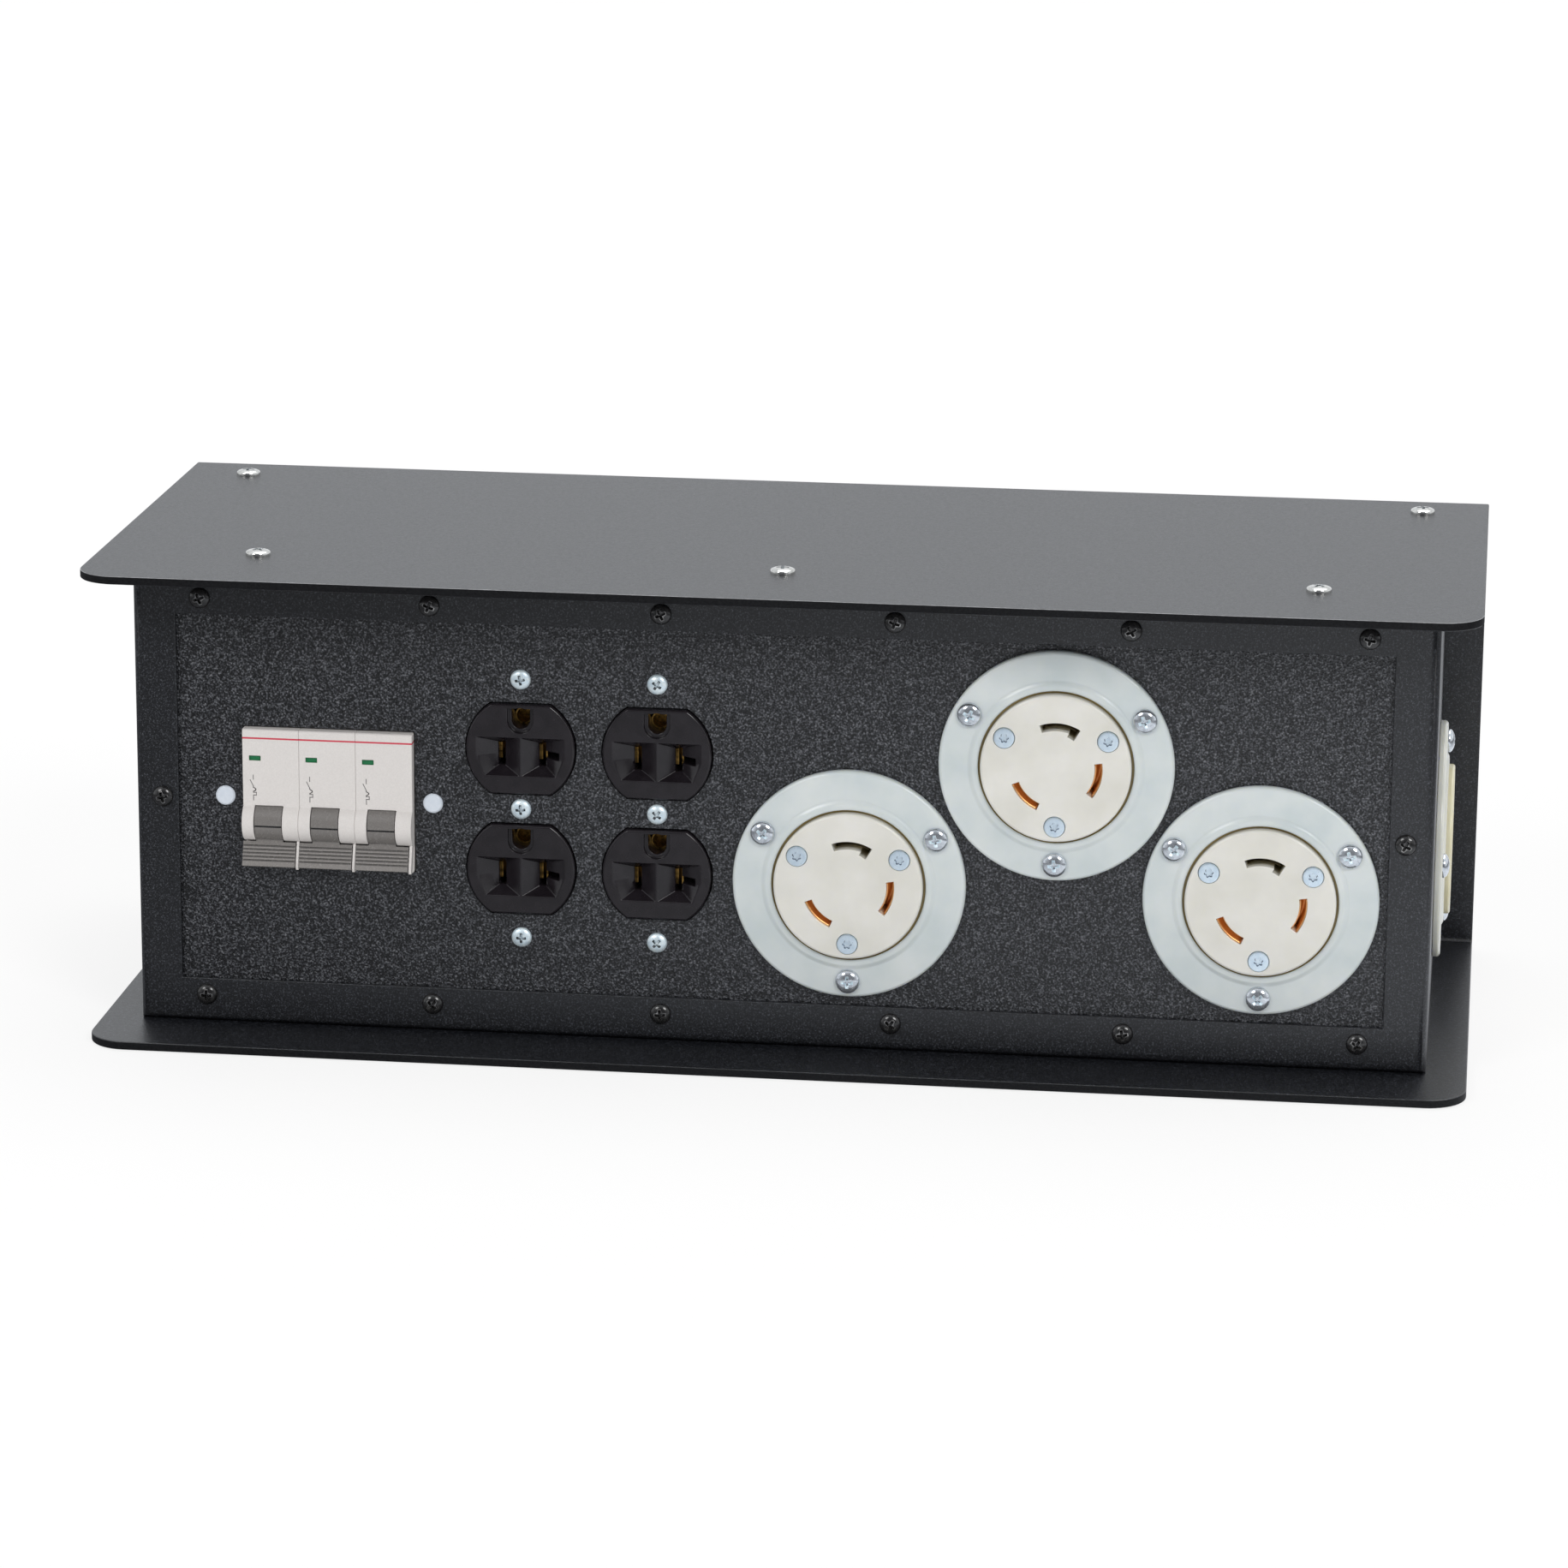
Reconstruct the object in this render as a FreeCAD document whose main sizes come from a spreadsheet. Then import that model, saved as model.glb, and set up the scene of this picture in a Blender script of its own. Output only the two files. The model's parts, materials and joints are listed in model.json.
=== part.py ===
import FreeCAD, Part
import math
import operator
import os

import Sketcher
from FreeCAD import Placement, Rotation, Vector

# A power distribution box for a machine hall: a folded steel box inside a bent channel that guards its
# top, back and bottom. Three breakers, two duplex receptacles and three flanged locking outlets sit in
# the front panel, and a flanged inlet sits in the right-hand wall. Millimetres, X right, Y back, Z up,
# with the origin at the middle of the channel's footprint.

SIZES = {
    # Channel guard
    "channel_width": 431.8,
    "channel_depth": 177.8,
    "channel_height": 152.4,
    "channel_sheet": 2.66,
    "channel_bend": 4.0,
    "channel_corner": 12.7,
    "front_setback": 25.4,
    # Box shell and front panel
    "box_width": 406.4,
    "box_sheet": 1.5,
    "box_bend": 3.0,
    "frame_side": 13.65,
    "frame_edge": 14.35,
    "panel_sheet": 2.0,
    "panel_gap": 2.0,
    # Screws that hold the box in the channel
    "channel_screw_head": 3.95,
    "channel_screw_rise": 1.9,
    "channel_screw_shank": 2.1,
    "channel_screw_length": 10.0,
    "channel_screw_spread": 165.3,
    "channel_screw_front": 36.9,
    "rear_screw_spread": 194.6,
    "rear_screw_back": 20.9,
    "flat_head": 4.2,
    "flat_head_gap": 0.1,
    # Screws that hold the panel to the frame
    "frame_screw_head": 3.35,
    "frame_screw_rise": 2.0,
    "frame_screw_shank": 1.75,
    "frame_screw_length": 9.0,
    "frame_screw_pitch": 72.65,
    "frame_screw_edge": 9.1,
    "frame_screw_side": 8.6,
    "hole_gap": 0.15,
    "thread_gap": 0.05,
    "nut_radius": 4.2,
    "nut_height": 3.0,
    # Breakers, measured from the middle of the nose at the panel's front face
    "breaker_edge_gap": 11.7,
    "breaker_rise": 0.8,
    "breaker_pitch": 18.0,
    "breaker_gap": 0.2,
    "nose_height": 44.8,
    "nose_gap": 0.4,
    "label_proud": 3.0,
    "lower_proud": 1.9,
    "label_edge": 0.8,
    "shoulder_depth": 21.0,
    "case_height": 83.0,
    "barrel_radius": 6.5,
    "hinge_depth": 0.6,
    "hinge_drop": 7.8,
    # Breaker toggles
    "drum_radius": 6.3,
    "drum_gap": 0.3,
    "drum_width": 8.6,
    "drum_window": 9.0,
    "drum_line": 0.45,
    "drum_line_drop": 0.3,
    "trunnion_radius": 1.25,
    "trunnion_gap": 0.05,
    "trunnion_length": 13.6,
    "trunnion_end_gap": 0.2,
    "toggle_left": 0.7,
    "toggle_rest": 70.0,
    "paddle_root": 6.95,
    "paddle_reach": 14.8,
    "paddle_width": 16.8,
    "paddle_front": 1.4,
    "paddle_rear": 1.6,
    "rib_pitch": 1.15,
    "rib_groove": 0.5,
    "rib_depth": 0.4,
    # Contact flags behind small windows in the breaker faces
    "flag_left": 5.0,
    "flag_rise": 13.05,
    "flag_width": 3.7,
    "flag_height": 1.6,
    "flag_travel": 1.9,
    "flag_lap": 0.4,
    "flag_wall": 0.6,
    "flag_sheet": 0.8,
    "flag_gap": 0.2,
    # Rail, brackets and rivets that carry the breakers
    "rail_depth": 65.0,
    "rail_height": 35.0,
    "rail_sheet": 1.0,
    "rail_hat": 7.5,
    "rail_hat_height": 27.0,
    "rail_gap": 0.2,
    "clip_lip": 1.5,
    "clip_reach": 1.8,
    "bracket_gap": 1.5,
    "bracket_sheet": 1.2,
    "rivet_edge": 3.0,
    "bracket_tab": 12.0,
    "bracket_height": 24.0,
    "rivet_spread": 33.1,
    "rivet_head": 3.15,
    "rivet_rise": 1.3,
    "rivet_shank": 1.6,
    "rail_screw_head": 3.0,
    "rail_screw_rise": 2.0,
    "rail_screw_shank": 1.5,
    "rail_screw_length": 5.0,
    # Duplex receptacles, measured from their middle at the panel's front face
    "gap_before_duplexes": 7.55,
    "gap_between_duplexes": 8.6,
    "gap_after_duplexes": 6.8,
    "duplex_width": 33.0,
    "duplex_height": 68.0,
    "duplex_depth": 25.0,
    "duplex_corner": 4.0,
    "face_radius": 17.2,
    "face_half": 14.4,
    "face_spread": 19.4,
    "face_proud": 1.5,
    "face_gap": 0.45,
    "face_edge": 0.5,
    "funnel_width": 13.9,
    "funnel_top": 3.8,
    "funnel_bottom": 8.6,
    "funnel_cut": 2.6,
    "funnel_ridge": 0.5,
    "funnel_depth": 4.2,
    "slot_offset": 6.4,
    "slot_width": 2.1,
    "slot_height": 7.6,
    "slot_drop": 2.2,
    "slot_depth": 15.0,
    "cross_slot_reach": 5.6,
    "cross_slot_height": 2.2,
    "ground_rise": 9.3,
    "ground_radius": 2.85,
    "ground_top": 3.8,
    "ground_lead": 1.2,
    "ground_lead_depth": 1.5,
    "contact_depth": 7.0,
    "contact_height": 5.0,
    "contact_leaf": 0.5,
    "contact_gap": 0.05,
    "duplex_screw_spread": 41.67,
    "duplex_screw_head": 3.2,
    "duplex_screw_rise": 1.7,
    "duplex_screw_shank": 1.75,
    "duplex_screw_length": 9.0,
    "strap_sheet": 1.3,
    "strap_width": 18.0,
    "strap_height": 106.0,
    # Flanged outlets, measured from the panel's front face
    "outlet_gap": 2.6,
    "outlet_side_gap": 2.35,
    "outlet_top_gap": 1.9,
    "outlet_bottom_gap": 3.1,
    "outlet_flange_radius": 36.5,
    "outlet_core_radius": 23.35,
    "flange_bore": 24.05,
    "flange_sheet": 2.6,
    "flange_edge": 1.1,
    "lip_width": 1.7,
    "lip_rise": 0.7,
    "lip_slope": 1.2,
    "core_proud": 2.6,
    "core_edge": 0.9,
    "core_seat": 14.0,
    "barrel_wall": 2.2,
    "barrel_gap": 0.5,
    "collar_radius": 35.0,
    "collar_sheet": 4.0,
    "outlet_depth": 40.0,
    "blade_ring": 13.3,
    "blade_slot": 2.4,
    "blade_slot_depth": 11.0,
    "ground_slot_angle": 85.0,
    "ground_slot_span": 52.0,
    "ground_hook": 3.9,
    "right_slot_angle": -14.5,
    "right_slot_span": 47.0,
    "left_slot_angle": 224.5,
    "left_slot_span": 45.0,
    "blade_contact_drop": 1.2,
    "ground_contact_drop": 6.0,
    "blade_contact_leaf": 0.4,
    "blade_contact_gap": 0.05,
    "blade_contact_ends": 1.0,
    "core_screw_ring": 18.5,
    "core_screw_head": 3.2,
    "core_screw_rise": 1.8,
    "core_screw_sink": 1.5,
    "core_screw_shank": 1.6,
    "core_screw_length": 24.0,
    "flange_screw_ring": 31.2,
    "flange_screw_head": 3.9,
    "flange_screw_rise": 2.2,
    "flange_screw_shank": 1.75,
    "flange_screw_length": 8.0,
    # Flanged inlet in the right-hand wall, measured from the wall's outer face
    "inlet_setback": 78.6,
    "inlet_drop": 18.7,
    "inlet_flange_radius": 37.9,
    "inlet_cup_radius": 24.0,
    "inlet_bore": 24.6,
    "inlet_cup_wall": 2.4,
    "inlet_cup_depth": 20.0,
    "inlet_screw_ring": 32.6,
    "inlet_depth": 40.0,
    "blade_sheet": 1.6,
    "blade_span": 40.0,
    "blade_length": 16.0,
    "pin_radius": 2.4,
}

FRAME_COLUMNS = 6
BREAKERS = 3
DUPLEXES = 2
PADDLE_RIBS = 5
HEAD_SHOULDER = 0.5
HEAD_CROWN = 0.75
OUTLET_SCREW_ANGLES = (150, 30, 270)
INLET_SCREW_ANGLES = (180, 60, -60)
INLET_BLADE_ANGLES = (45, 135, 225, 315)

# Directions that a piece's own Z axis can take
UPWARD = Rotation()
DOWNWARD = Rotation(Vector(1, 0, 0), 180)
FORWARD = Rotation(Vector(1, 0, 0), 90)
RIGHTWARD = Rotation(Vector(1, 1, 1), 120)

OPERATORS = {"+": operator.add, "-": operator.sub, "*": operator.mul, "/": operator.truediv}

doc = FreeCAD.newDocument("power_stringer_box")
sheet = doc.addObject("Spreadsheet::Sheet", "Sizes")
nodes = {}


class Size:
    """A number together with the formula that gives it from the sheet."""

    def __init__(self, formula, value):
        self.formula = formula
        self.value = value

    def __add__(self, other):
        return combined(self, "+", other)

    def __radd__(self, other):
        return combined(other, "+", self)

    def __sub__(self, other):
        return combined(self, "-", other)

    def __rsub__(self, other):
        return combined(other, "-", self)

    def __mul__(self, other):
        return combined(self, "*", other)

    def __rmul__(self, other):
        return combined(other, "*", self)

    def __truediv__(self, other):
        return combined(self, "/", other)

    def __neg__(self):
        return combined(0, "-", self)


def as_size(number):
    if isinstance(number, Size):
        return number
    return Size(f"({float(number):.12g})", float(number))


def combined(left, sign, right):
    left = as_size(left)
    right = as_size(right)
    value = OPERATORS[sign](left.value, right.value)
    return Size(f"({left.formula} {sign} {right.formula})", value)


def cosine(degrees):
    degrees = as_size(degrees)
    return Size(f"cos({degrees.formula})", math.cos(math.radians(degrees.value)))


def sine(degrees):
    degrees = as_size(degrees)
    return Size(f"sin({degrees.formula})", math.sin(math.radians(degrees.value)))


def root(size):
    return Size(f"sqrt({size.formula})", math.sqrt(size.value))


def fill_sheet():
    """Writes each size to the sheet under its own alias and returns the named sizes."""
    named = {}
    for row, (name, value) in enumerate(SIZES.items(), 1):
        sheet.set(f"A{row}", name)
        sheet.set(f"B{row}", str(value))
        sheet.setAlias(f"B{row}", name)
        named[name] = Size(f"Sizes.{name}", value)
    doc.recompute()
    return named


class Named:
    """The sizes as attributes, so that formulas read as plain arithmetic."""

    def __init__(self, named):
        self.__dict__.update(named)


of = Named(fill_sheet())


# Places that several pieces share

front_edge = -of.channel_depth / 2
back_edge = of.channel_depth / 2
box_front = front_edge + of.front_setback
box_rear = back_edge - of.channel_bend
box_low = of.channel_sheet
box_high = of.channel_height - of.channel_sheet
box_side = of.box_width / 2
floor_level = box_low + of.box_sheet
panel_front = box_front + of.box_sheet
panel_rear = panel_front + of.panel_sheet
middle = of.channel_height / 2
breaker_level = middle + of.breaker_rise
rail_front = panel_front + of.rail_depth
rail_back = rail_front + of.rail_hat
inlet_y = box_front + of.inlet_setback
inlet_z = middle - of.inlet_drop
barrel_outside = of.flange_bore + of.barrel_wall
inlet_outside = of.inlet_bore + of.barrel_wall
window_side = box_side - of.frame_side
window_low = box_low + of.frame_edge
window_high = box_high - of.frame_edge
breaker_reach = of.rivet_spread + of.rivet_head
breaker_middle = of.breaker_edge_gap + breaker_reach - window_side


# Helpers that bind what they make to the sheet

def bind(thing, name, size):
    thing.setExpression(name, as_size(size).formula)


def node(label, thing):
    thing.Label = label
    nodes[label] = thing
    return thing


def place(thing, x, y, z, rotation=UPWARD):
    thing.Placement = Placement(Vector(), rotation)
    bind(thing, "Placement.Base.x", x)
    bind(thing, "Placement.Base.y", y)
    bind(thing, "Placement.Base.z", z)
    return thing


def new_body(name):
    return doc.addObject("PartDesign::Body", name)


def sketch_on(body, role, offset=0, turn=None):
    """A sketch on one of the body's own planes, moved along its normal or turned about its upright axis."""
    plane = next(feature for feature in body.Origin.OriginFeatures if feature.Role == role)
    sketch = body.newObject("Sketcher::SketchObject", "Sketch")
    sketch.AttachmentSupport = (plane, [""])
    sketch.MapMode = "FlatFace"
    if turn is not None:
        sketch.AttachmentOffset = Placement(Vector(), Rotation(Vector(0, 1, 0), 1))
        bind(sketch, "AttachmentOffset.Rotation.Angle", turn)
    bind(sketch, "AttachmentOffset.Base.z", offset)
    return sketch


def constrain(sketch, kind, places, size):
    index = sketch.addConstraint(Sketcher.Constraint(kind, *places, as_size(size).value))
    name = f"size_{index}"
    sketch.renameConstraint(index, name)
    bind(sketch, f"Constraints.{name}", size)


def pin_point(sketch, geometry, point, x, y):
    constrain(sketch, "DistanceX", (-1, 1, geometry, point), x)
    constrain(sketch, "DistanceY", (-1, 1, geometry, point), y)


def vector(x, y):
    return Vector(as_size(x).value, as_size(y).value, 0)


def polygon(sketch, points):
    first = sketch.GeometryCount
    count = len(points)
    for here, there in zip(points, points[1:] + points[:1]):
        sketch.addGeometry(Part.LineSegment(vector(*here), vector(*there)), False)
    for i in range(count):
        sketch.addConstraint(Sketcher.Constraint("Coincident", first + i, 2, first + (i + 1) % count, 1))
    for i, (x, y) in enumerate(points):
        pin_point(sketch, first + i, 1, x, y)


def rectangle(sketch, left, low, right, high):
    polygon(sketch, [(left, low), (right, low), (right, high), (left, high)])


def circle(sketch, x, y, radius):
    centre = vector(x, y)
    index = sketch.addGeometry(Part.Circle(centre, Vector(0, 0, 1), as_size(radius).value), False)
    pin_point(sketch, index, 3, x, y)
    constrain(sketch, "Radius", (index,), radius)


def flatted_circle(sketch, x, y, radius, half_height):
    """A circle cut flat above and below."""
    centre = vector(x, y)
    size = as_size(radius).value
    angle = math.asin(as_size(half_height).value / size)
    ring = Part.Circle(centre, Vector(0, 0, 1), size)
    right = sketch.addGeometry(Part.ArcOfCircle(ring, -angle, angle), False)
    left = sketch.addGeometry(Part.ArcOfCircle(ring, math.pi - angle, math.pi + angle), False)
    ends = [ring.value(angle), ring.value(math.pi - angle), ring.value(math.pi + angle), ring.value(-angle)]
    top = sketch.addGeometry(Part.LineSegment(ends[0], ends[1]), False)
    low = sketch.addGeometry(Part.LineSegment(ends[2], ends[3]), False)
    for joint in ((right, 2, top, 1), (top, 2, left, 1), (left, 2, low, 1), (low, 2, right, 1)):
        sketch.addConstraint(Sketcher.Constraint("Coincident", *joint))
    for arc in (right, left):
        pin_point(sketch, arc, 3, x, y)
        constrain(sketch, "Radius", (arc,), radius)
    for line, level in ((top, y + half_height), (low, y - half_height)):
        sketch.addConstraint(Sketcher.Constraint("Horizontal", line))
        constrain(sketch, "DistanceY", (-1, 1, line, 1), level)


def pad(body, sketch, length, reverse=False, both_ways=False):
    feature = body.newObject("PartDesign::Pad", "Pad")
    feature.Profile = sketch
    bind(feature, "Length", length)
    feature.Reversed = reverse
    feature.SideType = "Symmetric" if both_ways else "One side"
    return feature


def pocket(body, sketch, depth=None, reverse=False, both_ways=False):
    """A cut against the sketch's normal, right through where no depth is given."""
    feature = body.newObject("PartDesign::Pocket", "Pocket")
    feature.Profile = sketch
    if depth is None:
        feature.Type = "ThroughAll"
    else:
        bind(feature, "Length", depth)
    feature.Reversed = reverse
    feature.SideType = "Symmetric" if both_ways else "One side"
    return feature


def turned(body, sketch, kind="PartDesign::Revolution", span=360):
    """A solid or a cut of revolution about the sketch's upright axis, even on both sides of the sketch."""
    feature = body.newObject(kind, "Turned")
    feature.Profile = sketch
    feature.ReferenceAxis = (sketch, ["V_Axis"])
    bind(feature, "Angle", span)
    feature.Midplane = True
    return feature


def dress(body, kind, size_name, size, chosen):
    """A fillet or chamfer on those edges of the body's last feature that the test picks."""
    doc.recompute()
    base = body.Tip
    names = [f"Edge{i}" for i, edge in enumerate(base.Shape.Edges, 1) if chosen(edge)]
    feature = body.newObject(kind, "Dress")
    feature.Base = (base, names)
    bind(feature, size_name, size)
    return feature


def fillet(body, radius, chosen):
    return dress(body, "PartDesign::Fillet", "Radius", radius, chosen)


def chamfer(body, size, chosen):
    return dress(body, "PartDesign::Chamfer", "Size", size, chosen)


def runs_along(edge, axis):
    if len(edge.Vertexes) != 2 or not isinstance(edge.Curve, Part.Line):
        return False
    return abs(abs(edge.Curve.Direction.dot(axis)) - 1) < 1e-6


def near(number, size):
    return abs(number - as_size(size).value) < 1e-4


def is_ring(edge, radius):
    return isinstance(edge.Curve, Part.Circle) and near(edge.Curve.Radius, radius)


ALONG_X = Vector(1, 0, 0)
ALONG_Y = Vector(0, 1, 0)
ALONG_Z = Vector(0, 0, 1)


def group(label, pattern, places):
    """One node that holds a copy of the pattern at each place."""
    copies = []
    for spot in places:
        copy = doc.addObject("App::Link", f"{label}_copy")
        copy.LinkedObject = pattern
        copies.append(place(copy, *spot))
    return collect(label, copies)


def collect(label, members):
    whole = doc.addObject("Part::Compound", label)
    whole.Links = members
    return node(label, whole)


def block(x, y, z, width, depth, height):
    """A box with the given least corner."""
    thing = doc.addObject("Part::Box", "Block")
    bind(thing, "Length", width)
    bind(thing, "Width", depth)
    bind(thing, "Height", height)
    return place(thing, x, y, z)


def rod(x, y, z, radius, length, rotation):
    thing = doc.addObject("Part::Cylinder", "Rod")
    bind(thing, "Radius", radius)
    bind(thing, "Height", length)
    return place(thing, x, y, z, rotation)


def cut(base, tool):
    thing = doc.addObject("Part::Cut", "Cut")
    thing.Base = base
    thing.Tool = tool
    return thing


# Fasteners, each with its seat at its own origin and its head along its own Z axis

def screw(name, head, rise, shank, length):
    """A pan-head screw with a softened head."""
    body = new_body(name)
    profile = sketch_on(body, "XZ_Plane")
    shoulder = rise * HEAD_SHOULDER
    crown = head * HEAD_CROWN
    polygon(profile, [(0, -length), (shank, -length), (shank, 0), (head, 0),
                      (head, shoulder), (crown, rise), (0, rise)])
    turned(body, profile)
    return body


def flat_screw(name, head, shank, length):
    """A countersunk screw whose flat head ends at its own origin."""
    body = new_body(name)
    profile = sketch_on(body, "XZ_Plane")
    polygon(profile, [(0, -length), (shank, -length), (shank, shank - head), (head, 0), (0, 0)])
    turned(body, profile)
    return body


def hexagon(radius):
    return [(radius * cosine(60 * i), radius * sine(60 * i)) for i in range(6)]


def nut(name, radius, bore, height):
    """A hexagon nut that hangs below its own origin."""
    body = new_body(name)
    profile = sketch_on(body, "XY_Plane")
    polygon(profile, hexagon(radius))
    circle(profile, 0, 0, bore)
    pad(body, profile, height, reverse=True)
    return body


# Channel guard

def channel_screw_spots():
    front = front_edge + of.channel_screw_front
    rear = back_edge - of.rear_screw_back
    spots = [(-of.channel_screw_spread, front), (0, front), (of.channel_screw_spread, front)]
    return spots + [(-of.rear_screw_spread, rear), (of.rear_screw_spread, rear)]


def make_channel_guard():
    body = new_body("channel_guard")
    profile = sketch_on(body, "YZ_Plane")
    inside = back_edge - of.channel_sheet
    polygon(profile, [(front_edge, 0), (back_edge, 0), (back_edge, of.channel_height),
                      (front_edge, of.channel_height), (front_edge, box_high), (inside, box_high),
                      (inside, box_low), (front_edge, box_low)])
    pad(body, profile, of.channel_width, both_ways=True)

    def at_depth(depth):
        return lambda edge: runs_along(edge, ALONG_X) and near(edge.CenterOfMass.y, depth)

    fillet(body, of.channel_bend, at_depth(back_edge))
    fillet(body, of.channel_bend - of.channel_sheet, at_depth(inside))
    fillet(body, of.channel_corner,
           lambda edge: runs_along(edge, ALONG_Z) and near(edge.CenterOfMass.y, front_edge))
    hole = of.channel_screw_shank + of.hole_gap
    holes = sketch_on(body, "XY_Plane")
    for x, y in channel_screw_spots():
        circle(holes, x, y, hole)
    pocket(body, holes, reverse=True)
    chamfer(body, of.flat_head - hole, lambda edge: is_ring(edge, hole) and near(edge.CenterOfMass.z, 0))
    node("channel_guard", body)


def make_channel_fasteners():
    spots = channel_screw_spots()
    head = of.flat_head - of.flat_head_gap
    pan = screw("channel_pan_screw", of.channel_screw_head, of.channel_screw_rise,
                of.channel_screw_shank, of.channel_screw_length)
    flat = flat_screw("channel_flat_screw", head, of.channel_screw_shank, of.channel_screw_length)
    hex_nut = nut("channel_nut", of.nut_radius, of.channel_screw_shank + of.thread_gap, of.nut_height)
    group("channel_top_screws", pan, [(x, y, of.channel_height, UPWARD) for x, y in spots])
    group("channel_bottom_screws", flat, [(x, y, 0, DOWNWARD) for x, y in spots])
    under_roof = [(x, y, box_high - of.box_sheet, UPWARD) for x, y in spots]
    on_floor = [(x, y, floor_level, DOWNWARD) for x, y in spots]
    group("channel_nuts", hex_nut, under_roof + on_floor)


# Box shell, front panel and the screws between them

def frame_screw_spots():
    across = [(i - (FRAME_COLUMNS - 1) / 2) * of.frame_screw_pitch for i in range(FRAME_COLUMNS)]
    rows = (box_high - of.frame_screw_edge, box_low + of.frame_screw_edge)
    spots = [(x, z) for z in rows for x in across]
    side = box_side - of.frame_screw_side
    return spots + [(-side, middle), (side, middle)]


def ring_spots(ring, angles):
    return [(ring * cosine(angle), ring * sine(angle)) for angle in angles]


def make_box_shell():
    body = new_body("box_shell")
    outside = sketch_on(body, "XZ_Plane", -box_front)
    rectangle(outside, -box_side, box_low, box_side, box_high)
    pad(body, outside, box_rear - box_front, reverse=True)
    fillet(body, of.box_bend, lambda edge: near(edge.CenterOfMass.y, box_front))
    inner_side = box_side - of.box_sheet
    inner_high = box_high - of.box_sheet
    inside = sketch_on(body, "XZ_Plane", -box_rear)
    rectangle(inside, -inner_side, floor_level, inner_side, inner_high)
    pocket(body, inside, box_rear - panel_front, reverse=True)
    fillet(body, of.box_bend - of.box_sheet, lambda edge: near(edge.CenterOfMass.y, panel_front))
    window = sketch_on(body, "XZ_Plane", -box_front)
    rectangle(window, -window_side, window_low, window_side, window_high)
    pocket(body, window, of.box_sheet * 2)
    holes = sketch_on(body, "XZ_Plane", -box_front)
    for x, z in frame_screw_spots():
        circle(holes, x, z, of.frame_screw_shank + of.hole_gap)
    pocket(body, holes, of.box_sheet * 2)
    upright = sketch_on(body, "XY_Plane")
    for x, y in channel_screw_spots():
        circle(upright, x, y, of.channel_screw_shank + of.hole_gap)
    pocket(body, upright, reverse=True)
    wall = sketch_on(body, "YZ_Plane", box_side)
    circle(wall, inlet_y, inlet_z, inlet_outside + of.barrel_gap)
    for y, z in ring_spots(of.inlet_screw_ring, INLET_SCREW_ANGLES):
        circle(wall, inlet_y + y, inlet_z + z, of.flange_screw_shank + of.hole_gap)
    pocket(body, wall, of.box_sheet * 2)
    node("box_shell", body)


def make_front_panel():
    body = new_body("front_panel")
    side = box_side - of.box_sheet - of.panel_gap
    outline = sketch_on(body, "XZ_Plane", -panel_front)
    rectangle(outline, -side, floor_level + of.panel_gap, side, box_high - of.box_sheet - of.panel_gap)
    pad(body, outline, of.panel_sheet, reverse=True)
    openings = sketch_on(body, "XZ_Plane", -panel_front)
    across = of.breaker_pitch * BREAKERS / 2 + of.nose_gap
    upward = of.nose_height / 2 + of.nose_gap
    rectangle(openings, breaker_middle - across, breaker_level - upward,
              breaker_middle + across, breaker_level + upward)
    for x in duplex_columns():
        for z in (middle - of.face_spread, middle + of.face_spread):
            flatted_circle(openings, x, z, of.face_radius + of.face_gap, of.face_half + of.face_gap)
    for x, z in outlet_spots():
        circle(openings, x, z, barrel_outside + of.barrel_gap)
    pocket(body, openings)
    holes = sketch_on(body, "XZ_Plane", -panel_front)
    for x, z in frame_screw_spots():
        circle(holes, x, z, of.frame_screw_shank + of.hole_gap)
    for x, z in duplex_screw_spots():
        circle(holes, x, z, of.duplex_screw_shank + of.hole_gap)
    for x, z in outlet_spots():
        for dx, dz in ring_spots(of.flange_screw_ring, OUTLET_SCREW_ANGLES):
            circle(holes, x + dx, z + dz, of.flange_screw_shank + of.hole_gap)
    for x in rivet_columns():
        circle(holes, x, breaker_level, of.rivet_shank + of.hole_gap)
    pocket(body, holes)
    node("front_panel", body)


def make_frame_fasteners():
    spots = frame_screw_spots()
    pan = screw("frame_pan_screw", of.frame_screw_head, of.frame_screw_rise,
                of.frame_screw_shank, of.frame_screw_length)
    hex_nut = nut("frame_nut", of.nut_radius, of.frame_screw_shank + of.thread_gap, of.nut_height)
    group("frame_screws", pan, [(x, box_front, z, FORWARD) for x, z in spots])
    group("frame_nuts", hex_nut, [(x, panel_rear, z, FORWARD) for x, z in spots])


# Breakers

def breaker_columns():
    return [breaker_middle + (i - (BREAKERS - 1) / 2) * of.breaker_pitch for i in range(BREAKERS)]


def case_outline():
    """Side view of a breaker: nose with its label face, shoulders, and the clip behind the rail's edges."""
    top = of.nose_height / 2
    low = -top
    hinge = -of.hinge_drop
    drum_floor = hinge - of.barrel_radius + of.rail_gap
    tall = of.case_height / 2
    rail = of.rail_height / 2 + of.rail_gap
    grip = rail - of.clip_reach
    slot_back = of.rail_depth + of.rail_sheet + of.rail_gap
    back = slot_back + of.clip_lip
    front = [(-of.label_proud, top), (-of.label_proud, hinge), (of.hinge_depth, hinge),
             (of.hinge_depth, drum_floor), (-of.lower_proud, low)]
    lower = [(of.shoulder_depth, low), (of.shoulder_depth, -tall), (back, -tall), (back, -grip),
             (slot_back, -grip), (slot_back, -rail), (of.rail_depth, -rail)]
    upper = [(of.rail_depth, rail), (slot_back, rail), (slot_back, grip), (back, grip), (back, tall),
             (of.shoulder_depth, tall), (of.shoulder_depth, top)]
    return front + lower + upper


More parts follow.
